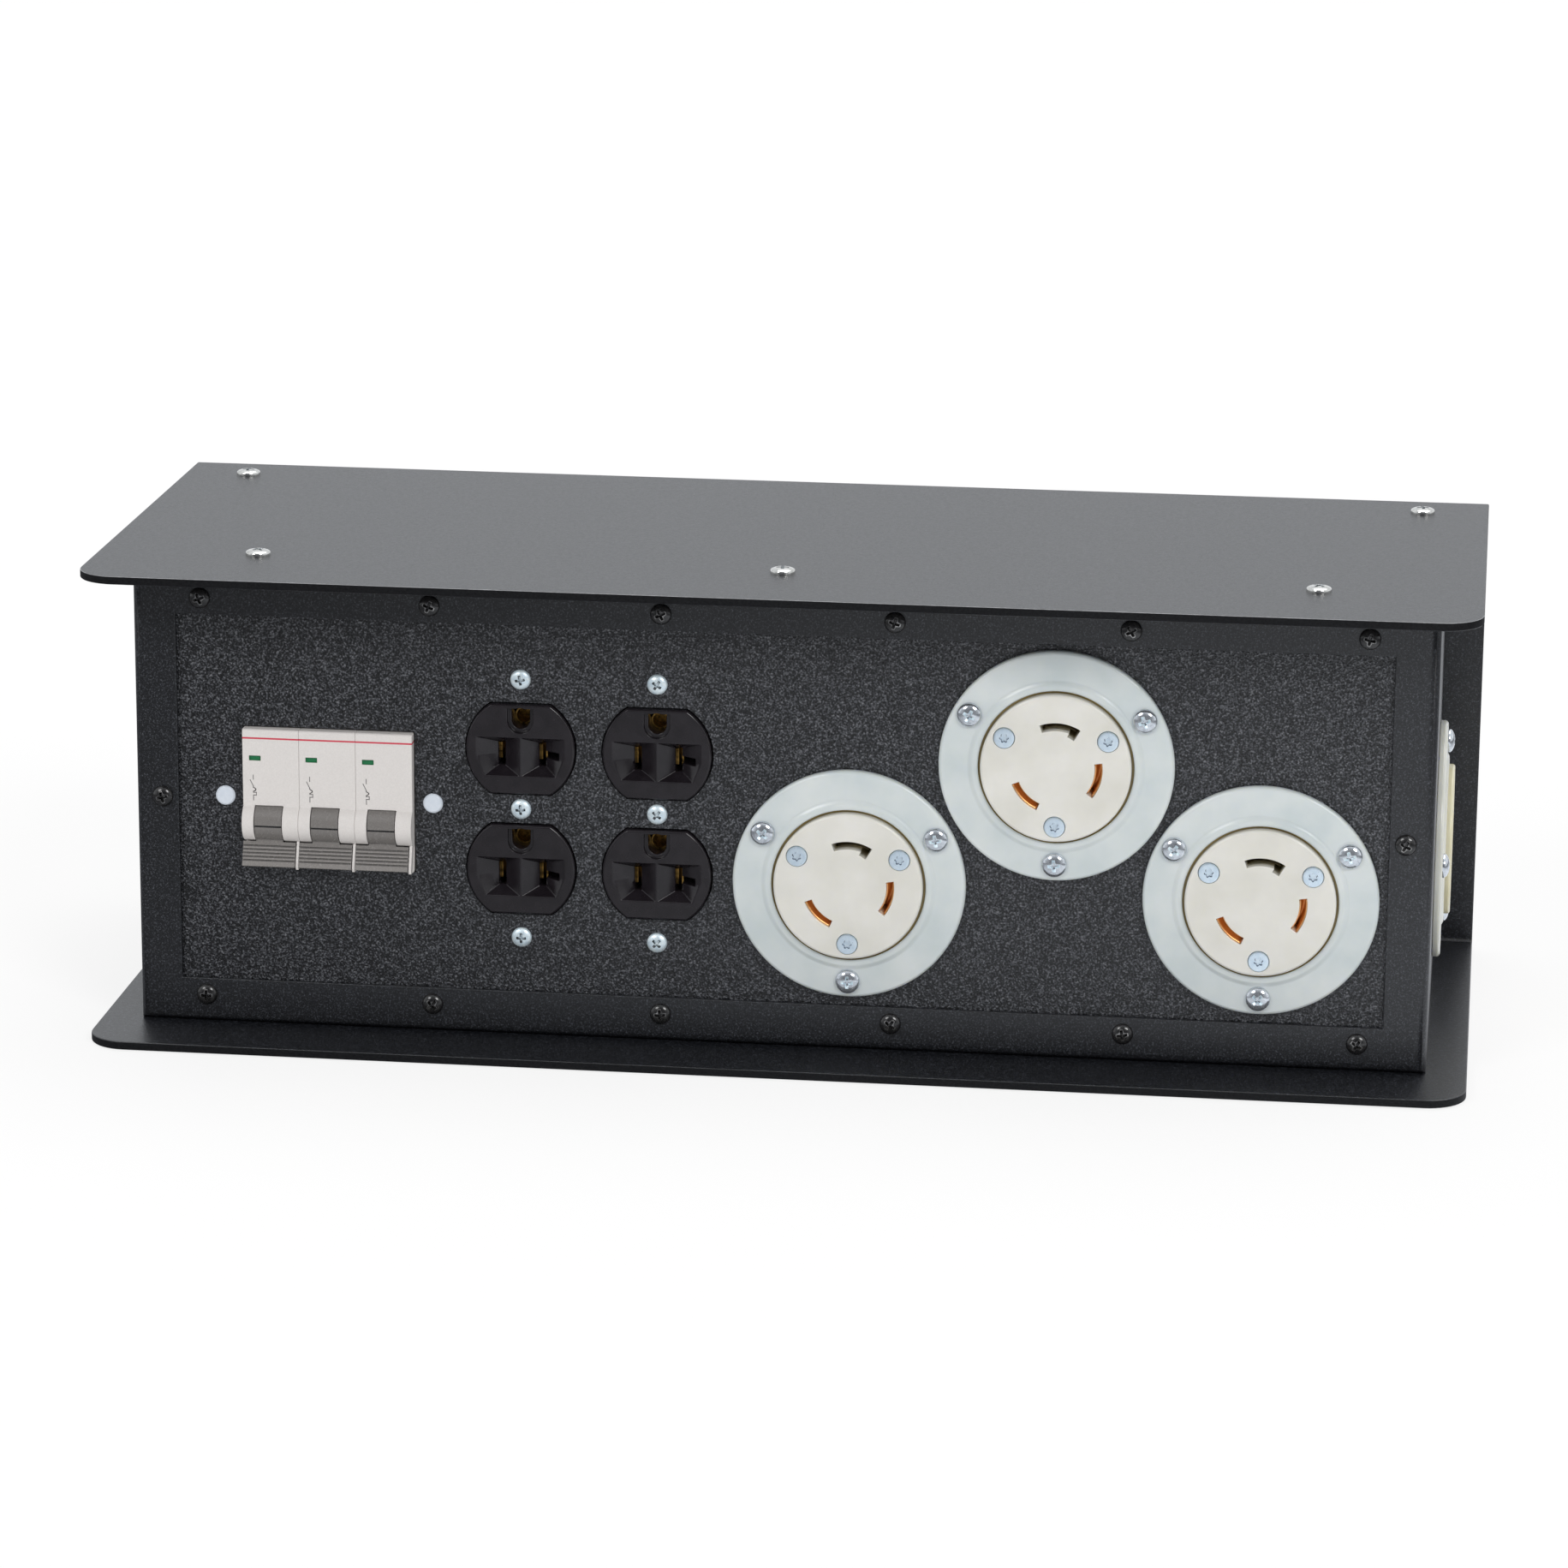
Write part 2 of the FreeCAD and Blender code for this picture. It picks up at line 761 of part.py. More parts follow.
def make_breaker_case(label, x):
    body = new_body(label)
    width = of.breaker_pitch - of.breaker_gap
    hinge = -of.hinge_drop
    side_view = sketch_on(body, "YZ_Plane")
    polygon(side_view, case_outline())
    pad(body, side_view, width, both_ways=True)
    fillet(body, of.label_edge,
           lambda edge: runs_along(edge, ALONG_X) and near(edge.CenterOfMass.y, -of.label_proud)
           and near(edge.CenterOfMass.z, of.nose_height / 2))
    barrel = sketch_on(body, "YZ_Plane")
    circle(barrel, of.hinge_depth, hinge, of.barrel_radius)
    pad(body, barrel, width, both_ways=True)
    drum = sketch_on(body, "YZ_Plane", -of.toggle_left)
    circle(drum, of.hinge_depth, hinge, of.drum_radius + of.drum_gap)
    pocket(body, drum, of.drum_window, both_ways=True)
    trunnion = sketch_on(body, "YZ_Plane", -of.toggle_left)
    circle(trunnion, of.hinge_depth, hinge, of.trunnion_radius + of.trunnion_gap)
    pocket(body, trunnion, of.trunnion_length + 2 * of.trunnion_end_gap, both_ways=True)
    half_wide = of.flag_width / 2
    half_tall = of.flag_height / 2
    window = sketch_on(body, "XZ_Plane", of.label_proud)
    rectangle(window, -of.flag_left - half_wide, of.flag_rise - half_tall,
              -of.flag_left + half_wide, of.flag_rise + half_tall)
    pocket(body, window, of.flag_wall)
    low, high = flag_reach()
    room = half_wide + of.flag_lap + of.flag_gap
    chamber = sketch_on(body, "XZ_Plane", of.label_proud - of.flag_wall)
    rectangle(chamber, -of.flag_left - room, low - of.flag_gap,
              -of.flag_left + room, high + of.flag_travel + of.flag_gap)
    pocket(body, chamber, of.flag_sheet + 2 * of.flag_gap)
    node(label, place(body, x, panel_front, breaker_level))


def flag_reach():
    """Lowest and highest level of a flag at rest, measured from the middle of the nose."""
    high = of.flag_rise + of.flag_height / 2 + of.flag_gap
    low = of.flag_rise - of.flag_height / 2 - of.flag_gap - of.flag_travel
    return low, high


def make_breaker_flag(label, x):
    low, high = flag_reach()
    body = new_body(label)
    face = of.label_proud - of.flag_wall - of.flag_gap
    half = of.flag_width / 2 + of.flag_lap
    outline = sketch_on(body, "XZ_Plane", face)
    rectangle(outline, -of.flag_left - half, low, -of.flag_left + half, high)
    pad(body, outline, of.flag_sheet, reverse=True)
    node(label, place(body, x, panel_front, breaker_level))


def toggle_point(reach, lift):
    """A point of the toggle's side view, out from the hinge along the paddle and lifted off its middle."""
    along = cosine(of.toggle_rest)
    down = sine(of.toggle_rest)
    return (of.hinge_depth - reach * along - lift * down, -of.hinge_drop - reach * down + lift * along)


def toggle_strip(sketch, start, end, low, high):
    polygon(sketch, [toggle_point(start, low), toggle_point(end, low),
                     toggle_point(end, high), toggle_point(start, high)])


def make_breaker_toggle(label, x):
    """Drum, neck and ribbed paddle in one moulding that turns on two trunnions."""
    body = new_body(label)
    hinge = -of.hinge_drop
    drum = sketch_on(body, "YZ_Plane", -of.toggle_left)
    circle(drum, of.hinge_depth, hinge, of.drum_radius)
    pad(body, drum, of.drum_width, both_ways=True)
    trunnion = sketch_on(body, "YZ_Plane", -of.toggle_left)
    circle(trunnion, of.hinge_depth, hinge, of.trunnion_radius)
    pad(body, trunnion, of.trunnion_length, both_ways=True)
    neck = sketch_on(body, "YZ_Plane", -of.toggle_left)
    toggle_strip(neck, of.drum_radius - of.paddle_rear, of.paddle_root + of.paddle_rear,
                 -of.paddle_rear, of.paddle_front)
    pad(body, neck, of.drum_width, both_ways=True)
    paddle = sketch_on(body, "YZ_Plane", -of.toggle_left)
    toggle_strip(paddle, of.paddle_root, of.paddle_reach, -of.paddle_rear, of.paddle_front)
    pad(body, paddle, of.paddle_width, both_ways=True)
    grooves = sketch_on(body, "YZ_Plane", -of.toggle_left)
    for i in range(PADDLE_RIBS):
        start = of.paddle_root + of.rib_pitch * (i + 1)
        toggle_strip(grooves, start, start + of.rib_groove, of.paddle_front - of.rib_depth,
                     of.paddle_front + of.rib_depth)
    pocket(body, grooves, of.paddle_width, both_ways=True)
    drum_front = of.hinge_depth - of.drum_radius
    line = hinge - of.drum_line_drop
    across = sketch_on(body, "YZ_Plane", -of.toggle_left)
    rectangle(across, drum_front - of.rib_depth, line - of.drum_line, drum_front + of.rib_depth, line)
    pocket(body, across, of.drum_width, both_ways=True)
    node(label, place(body, x, panel_front, breaker_level))


def make_breakers():
    for i, x in enumerate(breaker_columns(), 1):
        make_breaker_case(f"breaker_case_{i}", x)
        make_breaker_flag(f"breaker_flag_{i}", x)
        make_breaker_toggle(f"breaker_toggle_{i}", x)


# Rail and what holds it

def bracket_inside():
    return of.breaker_pitch * BREAKERS / 2 + of.bracket_gap


def rivet_columns():
    return [breaker_middle - of.rivet_spread, breaker_middle + of.rivet_spread]


def rail_screw_reach():
    return bracket_inside() - of.bracket_tab / 2


def make_din_rail():
    body = new_body("din_rail")
    tall = of.rail_height / 2
    hat = of.rail_hat_height / 2
    skin = of.rail_sheet
    profile = sketch_on(body, "YZ_Plane")
    polygon(profile, [(0, tall), (0, hat - skin), (of.rail_hat - skin, hat - skin),
                      (of.rail_hat - skin, skin - hat), (0, skin - hat), (0, -tall), (skin, -tall),
                      (skin, -hat), (of.rail_hat, -hat), (of.rail_hat, hat), (skin, hat), (skin, tall)])
    pad(body, profile, 2 * bracket_inside() - 2 * of.rail_gap, both_ways=True)
    holes = sketch_on(body, "XZ_Plane")
    for x in (-rail_screw_reach(), rail_screw_reach()):
        circle(holes, x, 0, of.rail_screw_shank + of.hole_gap)
    pocket(body, holes)
    node("din_rail", place(body, breaker_middle, rail_front, breaker_level))


def make_rail_brackets():
    """Two bent strips, each with a foot on the panel, a leg and a tab behind the rail."""
    body = new_body("rail_bracket")
    leg = bracket_inside()
    foot = of.rivet_spread + of.rivet_edge
    skin = of.bracket_sheet
    length = rail_back - panel_rear
    profile = sketch_on(body, "XY_Plane")
    polygon(profile, [(leg, 0), (foot, 0), (foot, skin),
                      (leg + skin, skin), (leg + skin, length + skin),
                      (leg - of.bracket_tab, length + skin), (leg - of.bracket_tab, length), (leg, length)])
    pad(body, profile, of.bracket_height, both_ways=True)
    holes = sketch_on(body, "XZ_Plane")
    circle(holes, of.rivet_spread, 0, of.rivet_shank + of.hole_gap)
    circle(holes, rail_screw_reach(), 0, of.rail_screw_shank + of.thread_gap)
    pocket(body, holes)
    spot = (breaker_middle, panel_rear, breaker_level)
    group("rail_brackets", body, [(*spot, UPWARD), (*spot, Rotation(ALONG_Y, 180))])


def make_rail_fasteners():
    rivet = screw("rail_rivet", of.rivet_head, of.rivet_rise, of.rivet_shank,
                  of.panel_sheet + 2 * of.bracket_sheet)
    group("rail_rivets", rivet, [(x, panel_front, breaker_level, FORWARD) for x in rivet_columns()])
    pan = screw("rail_screw", of.rail_screw_head, of.rail_screw_rise, of.rail_screw_shank,
                of.rail_screw_length)
    reach = rail_screw_reach()
    web = rail_back - of.rail_sheet
    columns = (breaker_middle - reach, breaker_middle + reach)
    group("rail_screws", pan, [(x, web, breaker_level, FORWARD) for x in columns])


# Duplex receptacles

def duplex_columns():
    """The receptacles share the room between the breakers and the first outlet."""
    left = breaker_middle + breaker_reach
    right = outlet_spots()[0][0] - of.outlet_flange_radius
    width = 2 * of.face_radius
    gaps = of.gap_before_duplexes + of.gap_between_duplexes * (DUPLEXES - 1) + of.gap_after_duplexes
    spread = (right - left - DUPLEXES * width) / gaps
    first = left + spread * of.gap_before_duplexes + of.face_radius
    return [first + i * (width + spread * of.gap_between_duplexes) for i in range(DUPLEXES)]


def duplex_screw_spots():
    levels = (middle - of.duplex_screw_spread, middle, middle + of.duplex_screw_spread)
    return [(x, z) for x in duplex_columns() for z in levels]


def funnel(body, side, level):
    """A lead-in that narrows from the face to one blade slot, on the left or the right of a face."""
    top = level + of.funnel_top
    low = level - of.funnel_bottom
    wide = side * of.funnel_width
    corner = side * (of.funnel_width - of.funnel_cut)
    mouth = sketch_on(body, "XZ_Plane", of.face_proud)
    ridge = side * of.funnel_ridge / 2
    polygon(mouth, [(ridge, top), (wide, top), (wide, level - of.slot_drop), (corner, low), (ridge, low)])
    near_side = side * (of.slot_offset - of.slot_width / 2)
    far_side = side * (of.slot_offset + of.slot_width / 2)
    slot_top = level - of.slot_drop + of.slot_height / 2
    slot_low = level - of.slot_drop - of.slot_height / 2
    throat = sketch_on(body, "XZ_Plane", of.face_proud - of.funnel_depth)
    polygon(throat, [(near_side, slot_top), (far_side, slot_top), (far_side, level - of.slot_drop),
                     (far_side, slot_low), (near_side, slot_low)])
    loft = body.newObject("PartDesign::SubtractiveLoft", "Funnel")
    loft.Profile = mouth
    loft.Sections = [throat]
    loft.Ruled = True


def ground_hole(body, level, radius, depth):
    """A hole that is round below and square above."""
    lower = sketch_on(body, "XZ_Plane", of.face_proud)
    circle(lower, 0, level, radius)
    pocket(body, lower, depth)
    upper = sketch_on(body, "XZ_Plane", of.face_proud)
    rectangle(upper, -radius, level, radius, level + of.ground_top)
    pocket(body, upper, depth)


def make_duplex_body(label, x):
    body = new_body(label)
    half_wide = of.duplex_width / 2
    half_tall = of.duplex_height / 2
    base = sketch_on(body, "XZ_Plane", -of.panel_sheet)
    rectangle(base, -half_wide, -half_tall, half_wide, half_tall)
    pad(body, base, of.duplex_depth, reverse=True)
    fillet(body, of.duplex_corner, lambda edge: runs_along(edge, ALONG_Y))
    faces = sketch_on(body, "XZ_Plane", of.face_proud)
    levels = (-of.face_spread, of.face_spread)
    for level in levels:
        flatted_circle(faces, 0, level, of.face_radius, of.face_half)
    pad(body, faces, of.face_proud + of.panel_sheet, reverse=True)
    chamfer(body, of.face_edge, lambda edge: near(edge.CenterOfMass.y, -of.face_proud))
    for level in levels:
        for side in (-1, 1):
            funnel(body, side, level)
    blades = sketch_on(body, "XZ_Plane", of.face_proud)
    crosses = sketch_on(body, "XZ_Plane", of.face_proud)
    for level in levels:
        slot = level - of.slot_drop
        for x_slot in (-of.slot_offset, of.slot_offset):
            rectangle(blades, x_slot - of.slot_width / 2, slot - of.slot_height / 2,
                      x_slot + of.slot_width / 2, slot + of.slot_height / 2)
        rectangle(crosses, of.slot_offset, slot - of.cross_slot_height / 2,
                  of.slot_offset + of.cross_slot_reach, slot + of.cross_slot_height / 2)
    pocket(body, blades, of.slot_depth)
    pocket(body, crosses, of.slot_depth)
    for level in levels:
        ground_hole(body, level + of.ground_rise, of.ground_radius + of.ground_lead, of.ground_lead_depth)
        ground_hole(body, level + of.ground_rise, of.ground_radius, of.slot_depth)
    centre_hole = sketch_on(body, "XZ_Plane", 0)
    circle(centre_hole, 0, 0, of.duplex_screw_shank + of.thread_gap)
    pocket(body, centre_hole, of.duplex_screw_length + of.hole_gap)
    node(label, place(body, x, panel_front, middle))


def make_duplex_strap(label, x):
    """A strap that wraps the back of the body, with an ear on the panel above and below it."""
    body = new_body(label)
    skin = of.strap_sheet
    body_top = of.duplex_height / 2
    ear = of.strap_height / 2
    back = of.duplex_depth
    profile = sketch_on(body, "YZ_Plane")
    outside = [(0, ear), (0, body_top), (back, body_top), (back, -body_top), (0, -body_top), (0, -ear)]
    over = body_top + skin
    inside = [(skin, -ear), (skin, -over), (back + skin, -over)]
    polygon(profile, outside + inside + [(y, -z) for y, z in reversed(inside)])
    pad(body, profile, of.strap_width, both_ways=True)
    holes = sketch_on(body, "XZ_Plane")
    for z in (-of.duplex_screw_spread, of.duplex_screw_spread):
        circle(holes, 0, z, of.duplex_screw_shank + of.thread_gap)
    pocket(body, holes, skin * 2)
    node(label, place(body, x, panel_rear, middle))


def leaf_pair(x, z, width, height):
    """Two brass leaves, joined at the back, that line the deep end of a slot."""
    back = of.slot_depth - of.face_proud
    front = back - of.contact_depth
    outer = block(x - width / 2, front, z - height / 2, width, of.contact_depth, height)
    gap = width - 2 * of.contact_leaf
    inner = block(x - gap / 2, front, z - height / 2, gap, of.contact_depth - of.contact_leaf, height)
    return cut(outer, inner)


def ground_tube(z):
    back = of.slot_depth - of.face_proud
    radius = of.ground_radius - of.contact_gap
    outer = rod(0, back, z, radius, of.contact_depth, FORWARD)
    inner = rod(0, back - of.contact_leaf, z, radius - of.contact_leaf, of.contact_depth, FORWARD)
    return cut(outer, inner)


def make_duplex_contacts(label, x):
    width = of.slot_width - 2 * of.contact_gap
    members = []
    for level in (-of.face_spread, of.face_spread):
        for column in (-of.slot_offset, of.slot_offset):
            members.append(leaf_pair(column, level - of.slot_drop, width, of.contact_height))
        members.append(ground_tube(level + of.ground_rise))
    place(collect(label, members), x, panel_front, middle)


def make_duplexes():
    for i, x in enumerate(duplex_columns(), 1):
        make_duplex_body(f"duplex_body_{i}", x)
        make_duplex_strap(f"duplex_strap_{i}", x)
        make_duplex_contacts(f"duplex_contacts_{i}", x)
    pan = screw("duplex_screw", of.duplex_screw_head, of.duplex_screw_rise, of.duplex_screw_shank,
                of.duplex_screw_length)
    group("duplex_screws", pan, [(x, panel_front, z, FORWARD) for x, z in duplex_screw_spots()])


# Flanged devices, each in its own frame with its axis along Z and the mounting face at zero

def outlet_spots():
    """Two outlets low and one high between them, a set gap apart and against the window's edges."""
    radius = of.outlet_flange_radius
    low = window_low + of.outlet_bottom_gap + radius
    high = window_high - of.outlet_top_gap - radius
    apart = 2 * radius + of.outlet_gap
    pitch = root(apart * apart - (high - low) * (high - low))
    last = window_side - of.outlet_side_gap - radius
    return [(last - 2 * pitch, low), (last - pitch, high), (last, low)]


def make_flange(label, radius, bore, screw_ring, angles, spot):
    body = new_body(label)
    top = of.flange_sheet
    lip = bore + of.lip_width
    profile = sketch_on(body, "XZ_Plane")
    polygon(profile, [(bore, 0), (radius, 0), (radius, top), (lip + of.lip_slope, top),
                      (lip, top + of.lip_rise), (bore, top + of.lip_rise)])
    turned(body, profile)
    fillet(body, of.flange_edge, lambda edge: is_ring(edge, radius) and near(edge.CenterOfMass.z, top))
    holes = sketch_on(body, "XY_Plane")
    for x, y in ring_spots(screw_ring, angles):
        circle(holes, x, y, of.flange_screw_shank + of.hole_gap)
    pocket(body, holes, reverse=True)
    node(label, place(body, *spot))


def make_housing(label, bore, seat, depth, sheet_behind, screw_ring, angles, core_angles, spot):
    """The rear housing: a barrel through the sheet, and a collar behind it that takes the flange screws."""
    body = new_body(label)
    outside = bore + of.barrel_wall
    collar = -sheet_behind - of.collar_sheet
    profile = sketch_on(body, "XZ_Plane")
    polygon(profile, [(0, -depth), (outside, -depth), (outside, collar), (of.collar_radius, collar),
                      (of.collar_radius, -sheet_behind), (outside, -sheet_behind), (outside, 0),
                      (bore, 0), (bore, -seat), (0, -seat)])
    turned(body, profile)
    holes = sketch_on(body, "XY_Plane", -sheet_behind)
    for x, y in ring_spots(screw_ring, angles):
        circle(holes, x, y, of.flange_screw_shank + of.thread_gap)
    pocket(body, holes, of.collar_sheet)
    if core_angles:
        deep = sketch_on(body, "XY_Plane", -seat)
        for x, y in ring_spots(of.core_screw_ring, core_angles):
            circle(deep, x, y, of.core_screw_shank + of.thread_gap)
        pocket(body, deep, of.core_screw_length)
    node(label, place(body, *spot))


def outlet_slots():
    """The middle angle and the span of each blade slot, and how far its contact lies below the face."""
    return [(of.ground_slot_angle, of.ground_slot_span, of.ground_contact_drop),
            (of.right_slot_angle, of.right_slot_span, of.blade_contact_drop),
            (of.left_slot_angle, of.left_slot_span, of.blade_contact_drop)]


def core_face():
    return of.flange_sheet + of.core_proud


def hook_corner(along, inward):
    """A point beside the end of the ground slot, along the ring and inward from it."""
    angle = of.ground_slot_angle - of.ground_slot_span / 2
    radius = of.blade_ring + of.blade_slot / 2 - inward
    return (radius * cosine(angle) - along * sine(angle), radius * sine(angle) + along * cosine(angle))


def make_outlet_core(label, spot):
    """The insulating core with three curved blade slots, the ground slot with its inward hook."""
    body = new_body(label)
    top = core_face()
    profile = sketch_on(body, "XZ_Plane")
    rectangle(profile, 0, -of.core_seat, of.outlet_core_radius, top)
    turned(body, profile)
    fillet(body, of.core_edge,
           lambda edge: is_ring(edge, of.outlet_core_radius) and near(edge.CenterOfMass.z, top))
    half = of.blade_slot / 2
    for angle, span, _ in outlet_slots():
        slot = sketch_on(body, "XZ_Plane", 0, angle)
        rectangle(slot, of.blade_ring - half, top - of.blade_slot_depth,
                  of.blade_ring + half, top + of.core_edge)
        turned(body, slot, "PartDesign::Groove", span)
    hook = sketch_on(body, "XY_Plane", top)
    polygon(hook, [hook_corner(0, half), hook_corner(of.blade_slot, half),
                   hook_corner(of.blade_slot, of.ground_hook), hook_corner(0, of.ground_hook)])
    pocket(body, hook, of.blade_slot_depth)
    heads = sketch_on(body, "XY_Plane", top)
    shanks = sketch_on(body, "XY_Plane", top)
    for x, y in ring_spots(of.core_screw_ring, OUTLET_SCREW_ANGLES):
        circle(heads, x, y, of.core_screw_head + of.hole_gap)
        circle(shanks, x, y, of.core_screw_shank + of.hole_gap)
    pocket(body, heads, of.core_screw_sink)
    pocket(body, shanks)
    node(label, place(body, *spot))


def make_outlet_contacts(label, spot):
    """Copper channels that line the blade slots."""
    members = []
    half = of.blade_slot / 2 - of.blade_contact_gap
    inner = half - of.blade_contact_leaf
    low = core_face() - of.blade_slot_depth
    web = low + of.blade_contact_leaf
    ring = of.blade_ring
    for angle, span, drop in outlet_slots():
        high = core_face() - drop
        body = new_body("blade_contact")
        profile = sketch_on(body, "XZ_Plane", 0, angle)
        right = [(ring + half, low), (ring + half, high), (ring + inner, high), (ring + inner, web)]
        left = [(ring - inner, web), (ring - inner, high), (ring - half, high), (ring - half, low)]
        polygon(profile, right + left)
        turned(body, profile, span=span - of.blade_contact_ends)
        members.append(body)
    place(collect(label, members), *spot)


def make_outlets():
    core_places = []
    flange_places = []
    for i, (x, z) in enumerate(outlet_spots(), 1):
        spot = (x, panel_front, z, FORWARD)
        make_flange(f"outlet_flange_{i}", of.outlet_flange_radius, of.flange_bore, of.flange_screw_ring,
                    OUTLET_SCREW_ANGLES, spot)
        make_outlet_core(f"outlet_core_{i}", spot)
        make_outlet_contacts(f"outlet_contacts_{i}", spot)
        make_housing(f"outlet_housing_{i}", of.flange_bore, of.core_seat, of.outlet_depth, of.panel_sheet,
                     of.flange_screw_ring, OUTLET_SCREW_ANGLES, OUTLET_SCREW_ANGLES, spot)
        for dx, dz in ring_spots(of.core_screw_ring, OUTLET_SCREW_ANGLES):
            seat = panel_front - core_face() + of.core_screw_sink
            core_places.append((x + dx, seat, z + dz, FORWARD))
        for dx, dz in ring_spots(of.flange_screw_ring, OUTLET_SCREW_ANGLES):
            flange_places.append((x + dx, panel_front - of.flange_sheet, z + dz, FORWARD))
    core_screw = screw("core_screw", of.core_screw_head, of.core_screw_rise, of.core_screw_shank,
                       of.core_screw_length)
    flange_screw = screw("flange_screw", of.flange_screw_head, of.flange_screw_rise, of.flange_screw_shank,
                         of.flange_screw_length)
    group("outlet_core_screws", core_screw, core_places)
    group("outlet_flange_screws", flange_screw, flange_places)
    return flange_screw


def make_inlet(flange_screw):
    """A flanged inlet: a cup with four curved blades round a pin."""
    spot = (box_side, inlet_y, inlet_z, RIGHTWARD)
    rim = core_face()
    cup_floor = rim - of.inlet_cup_depth
    seat = of.inlet_cup_depth + of.inlet_cup_wall - rim
    make_flange("inlet_flange", of.inlet_flange_radius, of.inlet_bore, of.inlet_screw_ring,
                INLET_SCREW_ANGLES, spot)
    cup = new_body("inlet_cup")
    profile = sketch_on(cup, "XZ_Plane")
    inside = of.inlet_cup_radius - of.inlet_cup_wall
    polygon(profile, [(0, -seat), (of.inlet_cup_radius, -seat), (of.inlet_cup_radius, rim), (inside, rim),
                      (inside, cup_floor), (0, cup_floor)])
    turned(cup, profile)
    fillet(cup, of.core_edge,
           lambda edge: is_ring(edge, of.inlet_cup_radius) and near(edge.CenterOfMass.z, rim))
    node("inlet_cup", place(cup, *spot))
    members = [rod(0, 0, cup_floor, of.pin_radius, of.blade_length, UPWARD)]
    half = of.blade_sheet / 2
    for angle in INLET_BLADE_ANGLES:
        blade = new_body("inlet_blade")
        outline = sketch_on(blade, "XZ_Plane", 0, angle)
        rectangle(outline, of.blade_ring - half, cup_floor,
                  of.blade_ring + half, cup_floor + of.blade_length)
        turned(blade, outline, span=of.blade_span)
        members.append(blade)
    place(collect("inlet_blades", members), *spot)
    make_housing("inlet_housing", of.inlet_bore, seat, of.inlet_depth, of.box_sheet, of.inlet_screw_ring,
                 INLET_SCREW_ANGLES, (), spot)
    places = []
    for y, z in ring_spots(of.inlet_screw_ring, INLET_SCREW_ANGLES):
        places.append((box_side + of.flange_sheet, inlet_y + y, inlet_z + z, RIGHTWARD))
    group("inlet_screws", flange_screw, places)


def check_and_write():
    """Stops if anything failed to build, then writes one file for each node."""
    doc.recompute()
    failed = [thing.Label for thing in doc.Objects if {"Invalid", "Error"} & set(thing.State)]
    if failed:
        raise RuntimeError(f"failed to build: {failed}")
    for label, thing in nodes.items():
        if thing.Shape.isNull() or not thing.Shape.isValid() or not thing.Shape.Solids:
            raise RuntimeError(f"not a valid solid: {label}")
    os.makedirs("parts", exist_ok=True)
    for label, thing in nodes.items():
        thing.Shape.exportStep(f"parts/{label}.step")


make_channel_guard()
make_channel_fasteners()
make_box_shell()
make_front_panel()
make_frame_fasteners()
make_breakers()
make_din_rail()
make_rail_brackets()
make_rail_fasteners()
make_duplexes()
make_inlet(make_outlets())
check_and_write()
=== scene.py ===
"""The looks of the power stringer box: its finishes, its screw heads, the studio and the camera."""

import json
import math

import bmesh
import bpy
from mathutils import Matrix, Vector


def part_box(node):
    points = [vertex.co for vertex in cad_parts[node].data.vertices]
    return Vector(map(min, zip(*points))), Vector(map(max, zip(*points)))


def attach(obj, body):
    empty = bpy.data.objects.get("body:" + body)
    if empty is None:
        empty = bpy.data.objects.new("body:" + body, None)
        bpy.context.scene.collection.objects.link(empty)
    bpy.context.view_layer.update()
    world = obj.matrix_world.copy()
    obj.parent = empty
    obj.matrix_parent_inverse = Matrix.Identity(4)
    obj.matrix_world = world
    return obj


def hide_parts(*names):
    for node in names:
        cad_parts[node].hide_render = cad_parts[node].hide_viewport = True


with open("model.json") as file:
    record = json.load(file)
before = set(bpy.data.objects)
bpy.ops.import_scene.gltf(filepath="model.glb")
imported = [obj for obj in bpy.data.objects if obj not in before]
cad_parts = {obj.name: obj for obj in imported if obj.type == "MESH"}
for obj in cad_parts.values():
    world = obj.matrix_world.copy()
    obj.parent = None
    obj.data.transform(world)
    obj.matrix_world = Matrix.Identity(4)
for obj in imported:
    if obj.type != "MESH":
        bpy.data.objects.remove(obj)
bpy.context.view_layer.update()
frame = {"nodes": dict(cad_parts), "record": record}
nodes = frame["nodes"]
MM = 0.001
FORWARD = Vector((0, -1, 0))
UPWARD = Vector((0, 0, 1))
DOWNWARD = Vector((0, 0, -1))
RIGHTWARD = Vector((1, 0, 0))
SHARP_ANGLE = 38
FLAT_ANGLE = 0.4
MERGE_DISTANCE = 1e-6


# Camera, lights and floor

def make_camera():
    """A long lens in front of the box, a little to its right and 15 degrees above it."""
    right = Vector((0.992078, 0.125441, 0.006795))
    down = Vector((0.038612, -0.253001, -0.966695))
    ahead = Vector((-0.119544, 0.959299, -0.25584))
    place = Vector((0.21537, -1.77325, 0.54395))
    focal_length = 131.957
    film_width = 36
    data = bpy.data.cameras.new("camera")
    data.lens = focal_length
    data.sensor_width = film_width
    camera = bpy.data.objects.new("camera", data)
    turn = Matrix((right, -down, -ahead)).transposed().to_4x4()
    camera.matrix_world = Matrix.Translation(place) @ turn
    bpy.context.scene.collection.objects.link(camera)
    bpy.context.scene.camera = camera


def make_sun(name, azimuth, elevation, strength, spread):
    """A soft lamp far away; azimuth counts from the front of the box to its right."""
    data = bpy.data.lights.new(name, "SUN")
    data.energy = strength
    data.angle = math.radians(spread)
    lamp = bpy.data.objects.new(name, data)
    across = math.radians(azimuth)
    up = math.radians(elevation)
    level = math.cos(up)
    towards = Vector((math.sin(across) * level, -math.cos(across) * level, math.sin(up)))
    lamp.rotation_euler = towards.to_track_quat("Z", "Y").to_euler()
    bpy.context.scene.collection.objects.link(lamp)


